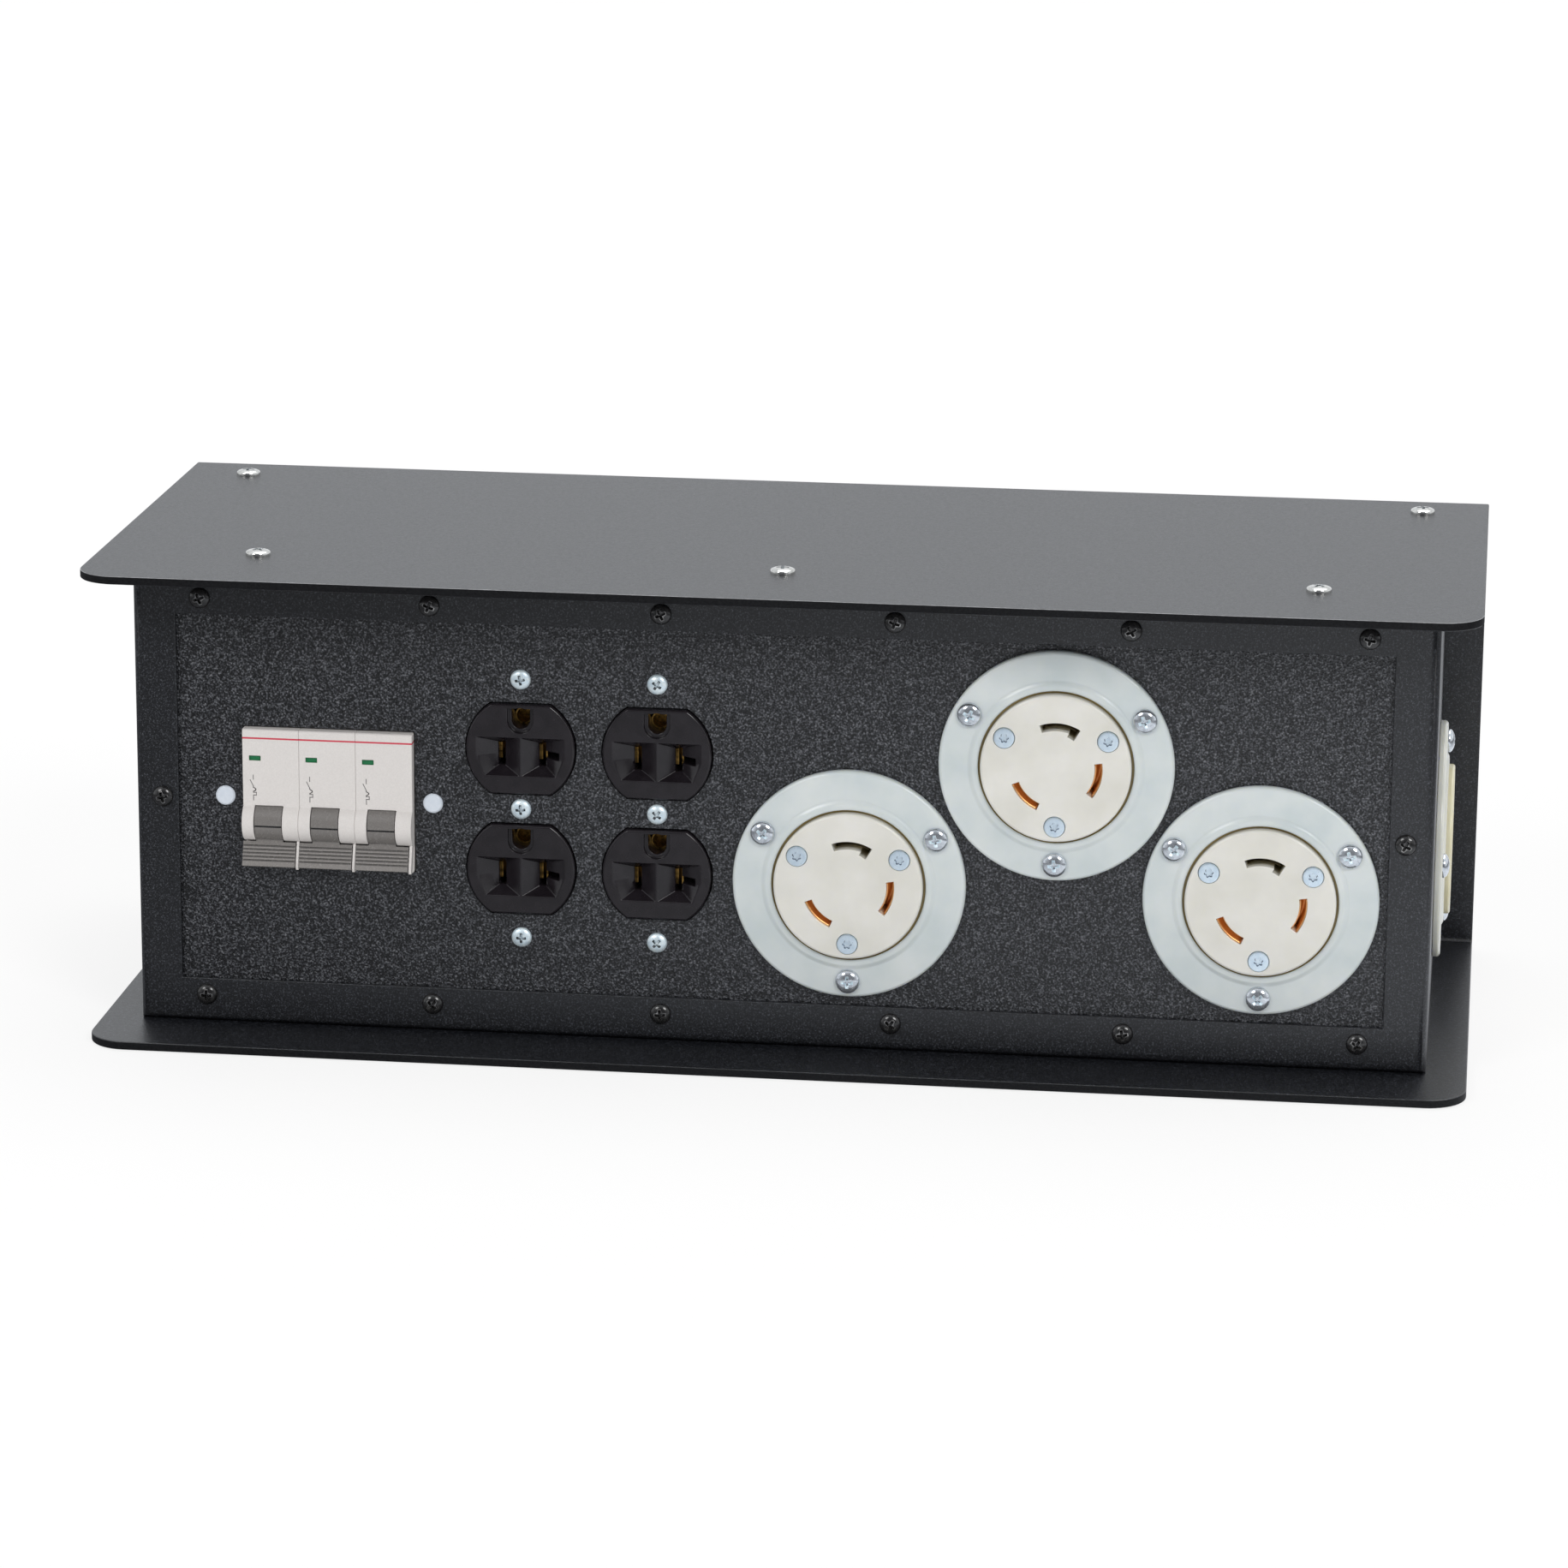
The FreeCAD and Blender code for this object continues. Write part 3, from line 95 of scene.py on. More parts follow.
def seen_directly(tree):
    """One for rays from the camera, a reflection or a clear material, and nought for soft light."""
    rays = tree.nodes.new("ShaderNodeLightPath").outputs
    mirrored = maths(tree, "MAXIMUM", rays["Is Camera Ray"], rays["Is Glossy Ray"])
    return maths(tree, "MAXIMUM", mirrored, rays["Is Transmission Ray"])


def make_world():
    """A white surrounding that is darker where a photographer stands, and a plain soft light."""
    soft_strength = 0.4
    photographer = (-0.9, (0.15, 0.155, 0.17))
    surrounding = (-0.3, (0.91, 0.935, 0.965))
    world = bpy.data.worlds.new("studio")
    bpy.context.scene.world = world
    world.use_nodes = True
    tree = world.node_tree
    soft = tree.nodes["Background"]
    soft.inputs["Color"].default_value = (1, 1, 1, 1)
    soft.inputs["Strength"].default_value = soft_strength
    place = tree.nodes.new("ShaderNodeTexCoord")
    parts = tree.nodes.new("ShaderNodeSeparateXYZ")
    tree.links.new(place.outputs["Generated"], parts.inputs[0])
    shade = ramp(tree, parts.outputs["Y"], photographer, surrounding)
    camera_ray = tree.nodes.new("ShaderNodeLightPath").outputs["Is Camera Ray"]
    white = tree.nodes.new("ShaderNodeBackground")
    tree.links.new(mixed(tree, camera_ray, shade, (1.0, 1.0, 1.0)), white.inputs["Color"])
    blend = tree.nodes.new("ShaderNodeMixShader")
    tree.links.new(seen_directly(tree), blend.inputs["Fac"])
    tree.links.new(soft.outputs[0], blend.inputs[1])
    tree.links.new(white.outputs[0], blend.inputs[2])
    tree.links.new(blend.outputs[0], tree.nodes["World Output"].inputs["Surface"])


def make_floor():
    """A pale floor that reads as white away from the box, keeps its shadow and is clear from below.

    What the box mirrors of it grows dimmer to the left and ends at the right."""
    reach = 12.0
    level = -0.3 * MM
    glow_share = 0.8
    dim = (0.0, 0.01, 0.03)
    full = (0.90, 0.94, 1.0)
    brightness = ((-0.30, dim), (0.20, full), (0.32, full), (0.55, dim))
    mesh = bpy.data.meshes.new("floor")
    corners = [(x * reach, y * reach, level) for x, y in ((-1, -1), (1, -1), (1, 1), (-1, 1))]
    mesh.from_pydata(corners, [], [(0, 1, 2, 3)])
    floor = bpy.data.objects.new("floor", mesh)
    bpy.context.scene.collection.objects.link(floor)
    material, tree, surface = new_material("floor_white")
    surface.inputs["Base Color"].default_value = (0.95, 0.95, 0.95, 1)
    surface.inputs["Roughness"].default_value = 0.9
    surface.inputs["Specular IOR Level"].default_value = 0.1
    glow = tree.nodes.new("ShaderNodeEmission")
    mirrored = ramp(tree, coordinate(tree, "X"), *brightness)
    camera_ray = tree.nodes.new("ShaderNodeLightPath").outputs["Is Camera Ray"]
    tree.links.new(mixed(tree, camera_ray, mirrored, (1.0, 1.0, 1.0)), glow.inputs["Color"])
    blend = tree.nodes.new("ShaderNodeMixShader")
    tree.links.new(maths(tree, "MULTIPLY", seen_directly(tree), glow_share), blend.inputs["Fac"])
    tree.links.new(surface.outputs[0], blend.inputs[1])
    tree.links.new(glow.outputs[0], blend.inputs[2])
    clear = tree.nodes.new("ShaderNodeBsdfTransparent")
    sides = tree.nodes.new("ShaderNodeMixShader")
    from_below = tree.nodes.new("ShaderNodeNewGeometry").outputs["Backfacing"]
    tree.links.new(from_below, sides.inputs["Fac"])
    tree.links.new(blend.outputs[0], sides.inputs[1])
    tree.links.new(clear.outputs[0], sides.inputs[2])
    tree.links.new(sides.outputs[0], tree.nodes["Material Output"].inputs["Surface"])
    mesh.materials.append(material)


# Building blocks of the materials

def new_material(name):
    """A material, its node tree and its surface."""
    material = bpy.data.materials.new(name)
    material.use_nodes = True
    tree = material.node_tree
    return material, tree, tree.nodes["Principled BSDF"]


def maths(tree, operation, first, second):
    """The result of an operation on two values, each a number or a socket."""
    node = tree.nodes.new("ShaderNodeMath")
    node.operation = operation
    for socket, value in zip(node.inputs, (first, second)):
        if isinstance(value, (int, float)):
            socket.default_value = value
        else:
            tree.links.new(value, socket)
    return node.outputs[0]


def position(tree):
    """A point's place in the row frame at rest, in metres."""
    return tree.nodes.new("ShaderNodeTexCoord").outputs["Object"]


def coordinate(tree, axis):
    """One part of a point's place, in metres."""
    parts = tree.nodes.new("ShaderNodeSeparateXYZ")
    tree.links.new(position(tree), parts.inputs[0])
    return parts.outputs[axis]


def noise(tree, size, detail=2.0, roughness=0.5):
    """Cloudy noise from nought to one, whose patches are about this size in millimetres."""
    node = tree.nodes.new("ShaderNodeTexNoise")
    tree.links.new(position(tree), node.inputs["Vector"])
    node.inputs["Scale"].default_value = 1 / (size * MM)
    node.inputs["Detail"].default_value = detail
    node.inputs["Roughness"].default_value = roughness
    return node.outputs["Fac"]


def ramp(tree, factor, *stops):
    """A colour that follows the factor through stops of (place, colour)."""
    low = stops[0][0]
    high = stops[-1][0]
    spread = tree.nodes.new("ShaderNodeMapRange")
    tree.links.new(factor, spread.inputs["Value"])
    spread.inputs["From Min"].default_value = low
    spread.inputs["From Max"].default_value = high
    node = tree.nodes.new("ShaderNodeValToRGB")
    tree.links.new(spread.outputs[0], node.inputs["Fac"])
    keys = node.color_ramp.elements
    while len(keys) < len(stops):
        keys.new(0.5)
    for key, (place, colour) in zip(keys, stops):
        key.position = (place - low) / (high - low)
        key.color = (*colour, 1)
    return node.outputs["Color"]


def two_tone(tree, factor, dark, light):
    """A colour that turns from dark to light over the middle of the noise's range."""
    return ramp(tree, factor, (0.3, dark), (0.7, light))


def roughen(tree, surface, factor, low, high):
    """Roughness from low to high as the factor goes from nought to one."""
    node = tree.nodes.new("ShaderNodeMapRange")
    tree.links.new(factor, node.inputs["Value"])
    node.inputs["To Min"].default_value = low
    node.inputs["To Max"].default_value = high
    tree.links.new(node.outputs[0], surface.inputs["Roughness"])


def bump(tree, surface, height, depth):
    """Relief of this depth in millimetres."""
    node = tree.nodes.new("ShaderNodeBump")
    node.inputs["Distance"].default_value = depth * MM
    tree.links.new(height, node.inputs["Height"])
    tree.links.new(node.outputs["Normal"], surface.inputs["Normal"])


def plain(surface, roughness, specular=0.5, metallic=0.0):
    """Even gloss over the whole surface."""
    surface.inputs["Roughness"].default_value = roughness
    surface.inputs["Specular IOR Level"].default_value = specular
    surface.inputs["Metallic"].default_value = metallic


def paint(tree, surface, colour):
    tree.links.new(colour, surface.inputs["Base Color"])


def between(tree, value, low, high):
    """One where the value lies between two limits in millimetres, and nought elsewhere."""
    above = maths(tree, "GREATER_THAN", value, low * MM)
    below = maths(tree, "LESS_THAN", value, high * MM)
    return maths(tree, "MULTIPLY", above, below)


def mixed(tree, factor, first, second):
    """The second colour where the factor is one; a colour is three numbers or a socket."""
    node = tree.nodes.new("ShaderNodeMix")
    node.data_type = "RGBA"
    tree.links.new(factor, node.inputs["Factor"])
    for socket, colour in zip((node.inputs[6], node.inputs[7]), (first, second)):
        if isinstance(colour, tuple):
            socket.default_value = (*colour, 1)
        else:
            tree.links.new(colour, socket)
    return node.outputs[2]


# Materials

def black_powder():
    """Powder coat with a fine even tooth; its crests are painted lighter: real grain with painted
    sparkle.
    """
    material, tree, surface = new_material("black_powder")
    grain = noise(tree, 0.6, 4, 0.75)
    hollow = (0.0004, 0.0005, 0.0009)
    flank = (0.0058, 0.0066, 0.0092)
    # The crest tone is real grain with painted sparkle of the tooth on top.
    crest = (0.092, 0.099, 0.117)
    paint(tree, surface, ramp(tree, grain, (0.3, hollow), (0.53, flank), (0.73, crest)))
    plain(surface, 0.34, 0.7)
    roughen(tree, surface, noise(tree, 1.3, 3), 0.30, 0.42)
    bump(tree, surface, grain, 0.05)
    return material


def painted_shade_edge():
    """Cut edges of the plates, painted darker than the coat as painted shade, and with a duller
    gloss.
    """
    material, tree, surface = new_material("painted_shade_edge")
    grain = noise(tree, 0.8, 3, 0.7)
    paint(tree, surface, two_tone(tree, grain, (0.002, 0.002, 0.003), (0.010, 0.0105, 0.012)))
    plain(surface, 0.55, 0.18)
    bump(tree, surface, grain, 0.02)
    return material


def painted_highlight_rim():
    """The front rim of the top plate, painted bright: a painted highlight."""
    material, tree, surface = new_material("painted_highlight_rim")
    grain = noise(tree, 1.5, 3, 0.6)
    paint(tree, surface, two_tone(tree, grain, (0.20, 0.205, 0.215), (0.34, 0.345, 0.36)))
    plain(surface, 0.3, 0.5)
    bump(tree, surface, grain, 0.01)
    return material


def black_texture():
    """Coarse wrinkled coat; its crests are painted lighter and its brightest specks are painted
    glints, over the real relief.
    """
    material, tree, surface = new_material("black_texture")
    lumps = noise(tree, 0.6, 1, 0.5)
    dark = (0.0004, 0.0004, 0.0006)
    flank = (0.003, 0.0032, 0.0044)
    # The crest tone is real grain with painted sheen; the brightest tone stands for painted glints.
    crest = (0.048, 0.0505, 0.0585)
    painted_glint = (0.148, 0.153, 0.166)
    tones = ((0.28, dark), (0.45, flank), (0.61, crest), (0.76, painted_glint))
    paint(tree, surface, ramp(tree, lumps, *tones))
    plain(surface, 0.3, 0.66)
    roughen(tree, surface, noise(tree, 0.6, 2), 0.22, 0.40)
    bump(tree, surface, lumps, 0.35)
    return material


def black_screw():
    """Blackened steel with a patchy gloss."""
    material, tree, surface = new_material("black_screw")
    patches = noise(tree, 0.8, 3)
    paint(tree, surface, two_tone(tree, patches, (0.004, 0.004, 0.0045), (0.016, 0.015, 0.015)))
    plain(surface, 0.18, 0.7)
    roughen(tree, surface, patches, 0.12, 0.24)
    bump(tree, surface, noise(tree, 0.3, 2), 0.01)
    return material


def zinc(name, dark, light, polish=0.12, metallic=1.0):
    """Zinc plate with a cloudy sheen and fine scratches; a smaller polish mirrors more sharply.

    A less metallic one is paler and mirrors less."""
    dullest = 2.2 * polish
    material, tree, surface = new_material(name)
    clouds = noise(tree, 1.4, 4, 0.6)
    paint(tree, surface, two_tone(tree, clouds, dark, light))
    plain(surface, polish, 0.5, metallic)
    roughen(tree, surface, noise(tree, 0.5, 3), polish, dullest)
    bump(tree, surface, noise(tree, 0.25, 2), 0.006)
    return material


def nylon(name, dark, light, depth, walls=None):
    """Moulded nylon that light enters to this depth in millimetres.

    Its faces are painted yellow-brown behind the level of the walls, where that is given: painted
    shade and the glow of light through the nylon."""
    fade = 5 * MM
    painted_glow_and_shade = (0.56, 0.47, 0.24)
    milkiness = 0.45
    material, tree, surface = new_material(name)
    body = two_tone(tree, noise(tree, 14, 3), dark, light)
    if walls is not None:
        # painted shade and glow, deeper in than the walls
        sunk = ramp(tree, coordinate(tree, "Y"), (walls, (0, 0, 0)), (walls + fade, (1, 1, 1)))
        body = mixed(tree, sunk, body, painted_glow_and_shade)
    paint(tree, surface, body)
    plain(surface, 0.2, 0.55)
    roughen(tree, surface, noise(tree, 3, 3), 0.15, 0.26)
    surface.inputs["Subsurface Weight"].default_value = milkiness
    surface.inputs["Subsurface Radius"].default_value = (1.0, 0.95, 0.7)
    surface.inputs["Subsurface Scale"].default_value = depth * MM
    bump(tree, surface, noise(tree, 0.7, 2), 0.008)
    return material


def light_grey_plastic():
    """Breaker cases with a red line across their faces, between two levels in millimetres."""
    line_foot = 96.25
    line_top = 96.8
    red = (0.60, 0.055, 0.09)
    material, tree, surface = new_material("light_grey_plastic")
    grain = noise(tree, 0.4, 2)
    case = two_tone(tree, grain, (0.68, 0.65, 0.63), (0.73, 0.70, 0.68))
    line = between(tree, coordinate(tree, "Z"), line_foot, line_top)
    paint(tree, surface, mixed(tree, line, case, red))
    plain(surface, 0.5, 0.4)
    bump(tree, surface, grain, 0.012)
    return material


def crevice(tree, reach):
    """Ambient occlusion: one on open surfaces and less in grooves, judged over this reach in
    millimetres; it masks painted shade.
    """
    node = tree.nodes.new("ShaderNodeAmbientOcclusion")
    node.only_local = True
    node.inputs["Distance"].default_value = reach * MM
    return node.outputs["AO"]


def dark_grey_plastic():
    """Breaker toggles: half glossy, with painted shade between their ribs and in the line across
    the drum.

    The paddles, below a level in millimetres, are painted paler than the drums: painted light."""
    paddle_top = 62
    line_foot = 68.4
    line_top = 68.95
    painted_line_shade = (0.018, 0.018, 0.019)
    painted_groove_shade = (0.066, 0.062, 0.060)
    painted_paddle_groove_shade = (0.085, 0.080, 0.077)
    material, tree, surface = new_material("dark_grey_plastic")
    grain = noise(tree, 0.35, 2)
    height = coordinate(tree, "Z")
    # painted shade in the grooves between the ribs, from ambient occlusion
    shade = ramp(tree, crevice(tree, 0.9), (0.45, (1, 1, 1)), (0.92, (0, 0, 0)))
    drum = two_tone(tree, grain, (0.168, 0.158, 0.150), (0.206, 0.194, 0.185))
    drum = mixed(tree, shade, drum, painted_groove_shade)
    # the paddle tone is a lit copy of the drum tone: painted light
    paddle = two_tone(tree, grain, (0.215, 0.203, 0.194), (0.262, 0.248, 0.237))
    paddle = mixed(tree, shade, paddle, painted_paddle_groove_shade)
    body = mixed(tree, between(tree, height, 0, paddle_top), drum, paddle)
    # painted shade in the line across the drum
    line = between(tree, height, line_foot, line_top)
    paint(tree, surface, mixed(tree, line, body, painted_line_shade))
    plain(surface, 0.25, 0.5)
    roughen(tree, surface, noise(tree, 1.1, 2), 0.2, 0.32)
    bump(tree, surface, grain, 0.008)
    return material


def flag_plastic():
    """Contact flags: green above and red below."""
    red = (0.45, 0.02, 0.02)
    material, tree, surface = new_material("flag_plastic")
    grain = noise(tree, 0.3, 2)
    low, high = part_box("breaker_flag_1")
    middle = (low.z + high.z) / 2 / MM
    green = two_tone(tree, grain, (0.006, 0.16, 0.055), (0.010, 0.22, 0.075))
    lower = between(tree, coordinate(tree, "Z"), 0, middle)
    paint(tree, surface, mixed(tree, lower, green, red))
    plain(surface, 0.4)
    return material


def white_rivet():
    """Rivet heads with a cool white coat."""
    material, tree, surface = new_material("white_rivet")
    clouds = noise(tree, 2, 2)
    paint(tree, surface, two_tone(tree, clouds, (0.62, 0.68, 0.76), (0.68, 0.73, 0.80)))
    plain(surface, 0.35, 0.5)
    bump(tree, surface, noise(tree, 0.4, 2), 0.008)
    return material


def brown_black_plastic():
    """Receptacle faces: brown-black and half glossy."""
    material, tree, surface = new_material("brown_black_plastic")
    clouds = noise(tree, 5, 3)
    dark = (0.0095, 0.0075, 0.0095)
    light = (0.0155, 0.0128, 0.0158)
    paint(tree, surface, two_tone(tree, clouds, dark, light))
    plain(surface, 0.2, 0.42)
    roughen(tree, surface, noise(tree, 1.2, 3), 0.15, 0.26)
    bump(tree, surface, noise(tree, 0.35, 2), 0.008)
    return material


def contact_metal(name, dark, light, patch=2.5):
    """Spring metal, lighter and darker in patches of about this size."""
    material, tree, surface = new_material(name)
    clouds = noise(tree, patch, 3)
    paint(tree, surface, two_tone(tree, clouds, dark, light))
    plain(surface, 0.3, 0.5, 1.0)
    roughen(tree, surface, clouds, 0.22, 0.42)
    return material


def black_plastic():
    """Rear housings, which look olive where they show through the outlets' gaps."""
    material, tree, surface = new_material("black_plastic")
    clouds = noise(tree, 4, 2)
    paint(tree, surface, two_tone(tree, clouds, (0.130, 0.115, 0.050), (0.170, 0.150, 0.070)))
    plain(surface, 0.5, 0.4)
    bump(tree, surface, noise(tree, 0.5, 2), 0.01)
    return material


def make_materials():
    """One finish for each material slot of the record."""
    copper = ((0.80, 0.34, 0.12), (0.95, 0.52, 0.22))
    return {
        "black_powder": black_powder(),
        "black_texture": black_texture(),
        "black_screw": black_screw(),
        "zinc_steel": zinc("zinc_steel", (0.48, 0.51, 0.54), (0.72, 0.75, 0.78)),
        "light_grey_plastic": light_grey_plastic(),
        "dark_grey_plastic": dark_grey_plastic(),
        "flag_plastic": flag_plastic(),
        "white_rivet": white_rivet(),
        "brown_black_plastic": brown_black_plastic(),
        "contact_brass": contact_metal("contact_brass", *copper),
        "pale_nylon": nylon("pale_nylon", (0.59, 0.65, 0.66), (0.69, 0.73, 0.73), 2.5),
        "cream_nylon": nylon("cream_nylon", (0.70, 0.69, 0.63), (0.78, 0.77, 0.725), 1.5),
        "black_plastic": black_plastic(),
    }


# Screws with their recesses

def cross_outline(arm, half):
    """Angles and radii round a cross of four arms of this length and half width, in millimetres."""
    corner = math.atan2(half, arm)
    flank = [corner + (math.pi / 4 - corner) * i / 4 for i in range(4)]
    quarter = [-math.pi / 4] + [-angle for angle in reversed(flank)] + [0] + flank
    points = []
    for turn in range(4):
        for angle in quarter:
            size = abs(angle)
            radius = arm if size <= corner else min(arm, half / math.sin(size))
            points.append((angle + turn * math.pi / 2, radius))
    return points


def star_outline(radius, lobe):
    """Angles and radii round a six-lobed star, in millimetres."""
    count = 72
    turns = [2 * math.pi * i / count for i in range(count)]
    return [(angle, radius + lobe * math.cos(6 * angle)) for angle in turns]


def dome(part, side, rise, fullness):
    """Height of a head at a part of its radius: a side wall and a crown above it."""
    return side + (rise - side) * max(0.0, 1 - part ** fullness) ** (1 / fullness)


def screw_mesh(outline, head, rise, shank, length, depth,
               side=0.3, fullness=2.4, taper=0.6, wear_and_glint=0):
    """A screw along Z with its seat at nought: a recess, a crown, a side and a shank.

    Lengths are in millimetres, head and shank are radii, and a head without rise is countersunk.
    The first bands of the crown, as many as wear_and_glint says, take the finish of the recess; on
    the frame screws that is real wear in the recess and painted glints on the crown, on the flange
    screws a painted highlight."""
    crown_bands = (0.0, 0.05, 0.2, 0.4, 0.6, 0.77, 0.89, 0.96, 1.0)
    floor_dip = 0.15 * depth
    rings = []
    floor = rise - depth
    rings.append([(angle, radius * taper, floor) for angle, radius in outline])
    for out in crown_bands:
        ring = []
        for angle, radius in outline:
            reach = radius + (head - radius) * out
            ring.append((angle, reach, dome(reach / head, side * rise, rise, fullness)))
        rings.append(ring)
    under = [(head, 0), (shank, 0)] if rise else [(shank, shank - head)]
    for radius, height in under + [(shank, -length)]:
        rings.append([(angle, radius, height) for angle, _ in outline])
    mesh = bmesh.new()
    rows = []
    for ring in rings:
        row = []
        for angle, radius, height in ring:
            place = (radius * math.cos(angle) * MM, radius * math.sin(angle) * MM, height * MM)
            row.append(mesh.verts.new(place))
        rows.append(row)
    count = len(outline)
    for inner, outer in zip(rows, rows[1:]):
        for i in range(count):
            follow = (i + 1) % count
            face = mesh.faces.new((inner[i], outer[i], outer[follow], inner[follow]))
            face.material_index = int(any(inner is row for row in rows[:wear_and_glint + 1]))
    for row, height in ((rows[0], floor - floor_dip), (rows[-1], -length)):
        middle = mesh.verts.new((0, 0, height * MM))
        for i in range(count):
            mesh.faces.new((middle, row[i], row[(i + 1) % count]))
    bmesh.ops.recalc_face_normals(mesh, faces=mesh.faces)
    return mesh


def islands(mesh):
    """The separate solids of a mesh, each as a list of its corners."""
    left = set(mesh.verts)
    groups = []
    while left:
        group = [left.pop()]
        for vert in group:
            for edge in vert.link_edges:
                other = edge.other_vert(vert)
                if other in left:
                    left.remove(other)
                    group.append(other)
        groups.append(group)
    return groups


def welded(node):
    """A mesh of a CAD node whose triangles share their corners."""
    mesh = bmesh.new()
    mesh.from_mesh(nodes[node].data)
    bmesh.ops.remove_doubles(mesh, verts=mesh.verts, dist=MERGE_DISTANCE)
    return mesh


def solid_boxes(node):
    """The lowest and highest corner of each separate solid in a CAD node."""
    mesh = welded(node)
    boxes = []
    for group in islands(mesh):
        places = [vert.co for vert in group]
        low = Vector([min(place[i] for place in places) for i in range(3)])
        high = Vector([max(place[i] for place in places) for i in range(3)])
        boxes.append((low, high))
    mesh.free()
    return sorted(boxes, key=lambda box: (round(box[0].z, 4), box[0].x, box[0].y))


def make_screws(node, outward, pattern, rise, material, recess, slot):
    """Copies of one screw stand for a CAD group of screws, each turned a little further."""
    golden_turn = 2.399963
    whole = bmesh.new()
    mesh = bpy.data.meshes.new(f"{node}_recessed")
    pattern.to_mesh(mesh)
    pattern.free()
    upright = outward.to_track_quat("Z", "Y").to_matrix().to_4x4()
    for i, (low, high) in enumerate(solid_boxes(node)):
        middle = (low + high) / 2
        top = max(low.dot(outward), high.dot(outward))
        seat = middle + outward * (top - rise * MM - middle.dot(outward))
        copy = mesh.copy()
        turn = Matrix.Rotation(golden_turn * i, 4, "Z")
        copy.transform(Matrix.Translation(seat) @ upright @ turn)
        whole.from_mesh(copy)
        bpy.data.meshes.remove(copy)
    whole.to_mesh(mesh)
    whole.free()
    finish_piece(mesh, "box", material, slot, node)
    mesh.materials.append(recess)


def finish_piece(mesh, body, material, slot, *stands_for):
    """A new piece with smooth faces between its sharp edges."""
    mesh.shade_smooth()
    mesh.set_sharp_from_angle(angle=math.radians(SHARP_ANGLE))
    mesh.materials.append(material)
    piece = bpy.data.objects.new(mesh.name, mesh)
    bpy.context.scene.collection.objects.link(piece)
    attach(piece, body)
    if stands_for:
        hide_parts(*stands_for)
    return piece


def dress_screws(finishes):
    """Each group of screws gets its own head and recess; all lengths are in millimetres."""
    pale_blue = zinc("zinc_blue", (0.66, 0.79, 0.90), (0.80, 0.91, 0.99), 0.2, 0.8)
    # painted shade for the star recesses of the core screws
    painted_shade_zinc = zinc("painted_shade_zinc", (0.07, 0.09, 0.12), (0.14, 0.17, 0.21), 0.2)
    polished = zinc("polished_steel", (0.50, 0.53, 0.57), (0.76, 0.80, 0.85), 0.07, 0.85)
    sparkling = zinc("sparkling_zinc", (0.62, 0.76, 0.86), (0.89, 0.98, 1.0), 0.24, 0.5)
    warm = zinc("warm_zinc", (0.50, 0.50, 0.48), (0.76, 0.755, 0.73), 0.10)
    shaded = zinc("shaded_zinc", (0.22, 0.23, 0.24), (0.42, 0.44, 0.45), 0.16)
    # steel of real wear in the frame screws' recesses, also spread over the crown as painted glints
    wear_and_glint = zinc("wear_and_glint_steel", (0.02, 0.02, 0.02), (0.50, 0.49, 0.48), 0.18)
    black = finishes["black_screw"]
    bright = finishes["zinc_steel"]
    pan = {"shank": 1.75, "side": 0.12, "fullness": 2}
    flange_head = {"head": 3.9, "rise": 2.2, "length": 8.0}
    guard_shank = {"shank": 2.1, "length": 10.0, "depth": 1.2}
    flange_cross = cross_outline(1.9, 0.5)
    guard_cross = cross_outline(2.0, 0.5)
    jobs = [
        # frame screws: wear in the recess, painted glints on the first two crown bands
        ("frame_screws", FORWARD, cross_outline(1.7, 0.45), black, wear_and_glint, "black_screw",
         {"head": 3.35, "rise": 2.0, "length": 9.0, "depth": 1.4, "wear_and_glint": 2, **pan}),
        ("duplex_screws", FORWARD, cross_outline(1.6, 0.42), sparkling, shaded, "zinc_steel",
         {"head": 3.2, "rise": 1.7, "length": 9.0, "depth": 1.0, **pan}),
        # flange screws: recess and first crown band painted bright: painted highlight
        ("outlet_flange_screws", FORWARD, flange_cross, polished, sparkling, "zinc_steel",
         {"depth": 0.9, "wear_and_glint": 1, **flange_head, **pan}),
        ("inlet_screws", RIGHTWARD, flange_cross, polished, bright, "zinc_steel",
         {"depth": 1.3, **flange_head, **pan}),
        ("outlet_core_screws", FORWARD, star_outline(1.3, 0.22), pale_blue, painted_shade_zinc, "zinc_steel",
         {"head": 3.2, "rise": 1.8, "shank": 1.6, "length": 24.0, "depth": 0.7,
          "side": 0.8, "fullness": 6, "taper": 0.85}),
        ("channel_top_screws", UPWARD, guard_cross, warm, shaded, "zinc_steel",
         {"head": 3.95, "rise": 1.9, "side": 0.38, "fullness": 2.3, **guard_shank}),
        ("channel_bottom_screws", DOWNWARD, guard_cross, bright, bright, "zinc_steel",
         {"head": 4.1, "rise": 0, **guard_shank}),
    ]
    for node, outward, outline, finish, recess, slot, shape in jobs:
        pattern = screw_mesh(outline, **shape)
        make_screws(node, outward, pattern, shape["rise"], finish, recess, slot)


def lathe(profile, count):
    """A ring turned about Z from a closed outline of (radius, height) points in millimetres."""
    mesh = bmesh.new()
    rows = []
    for i in range(count):
        angle = 2 * math.pi * i / count
        across = math.cos(angle) * MM
        along = math.sin(angle) * MM
        places = [(radius * across, radius * along, height * MM) for radius, height in profile]
        rows.append([mesh.verts.new(place) for place in places])
    size = len(profile)
    for i, row in enumerate(rows):
        following = rows[(i + 1) % count]
        for j in range(size):
            after = (j + 1) % size
            mesh.faces.new((row[j], following[j], following[after], row[after]))
    bmesh.ops.recalc_face_normals(mesh, faces=mesh.faces)
    return mesh


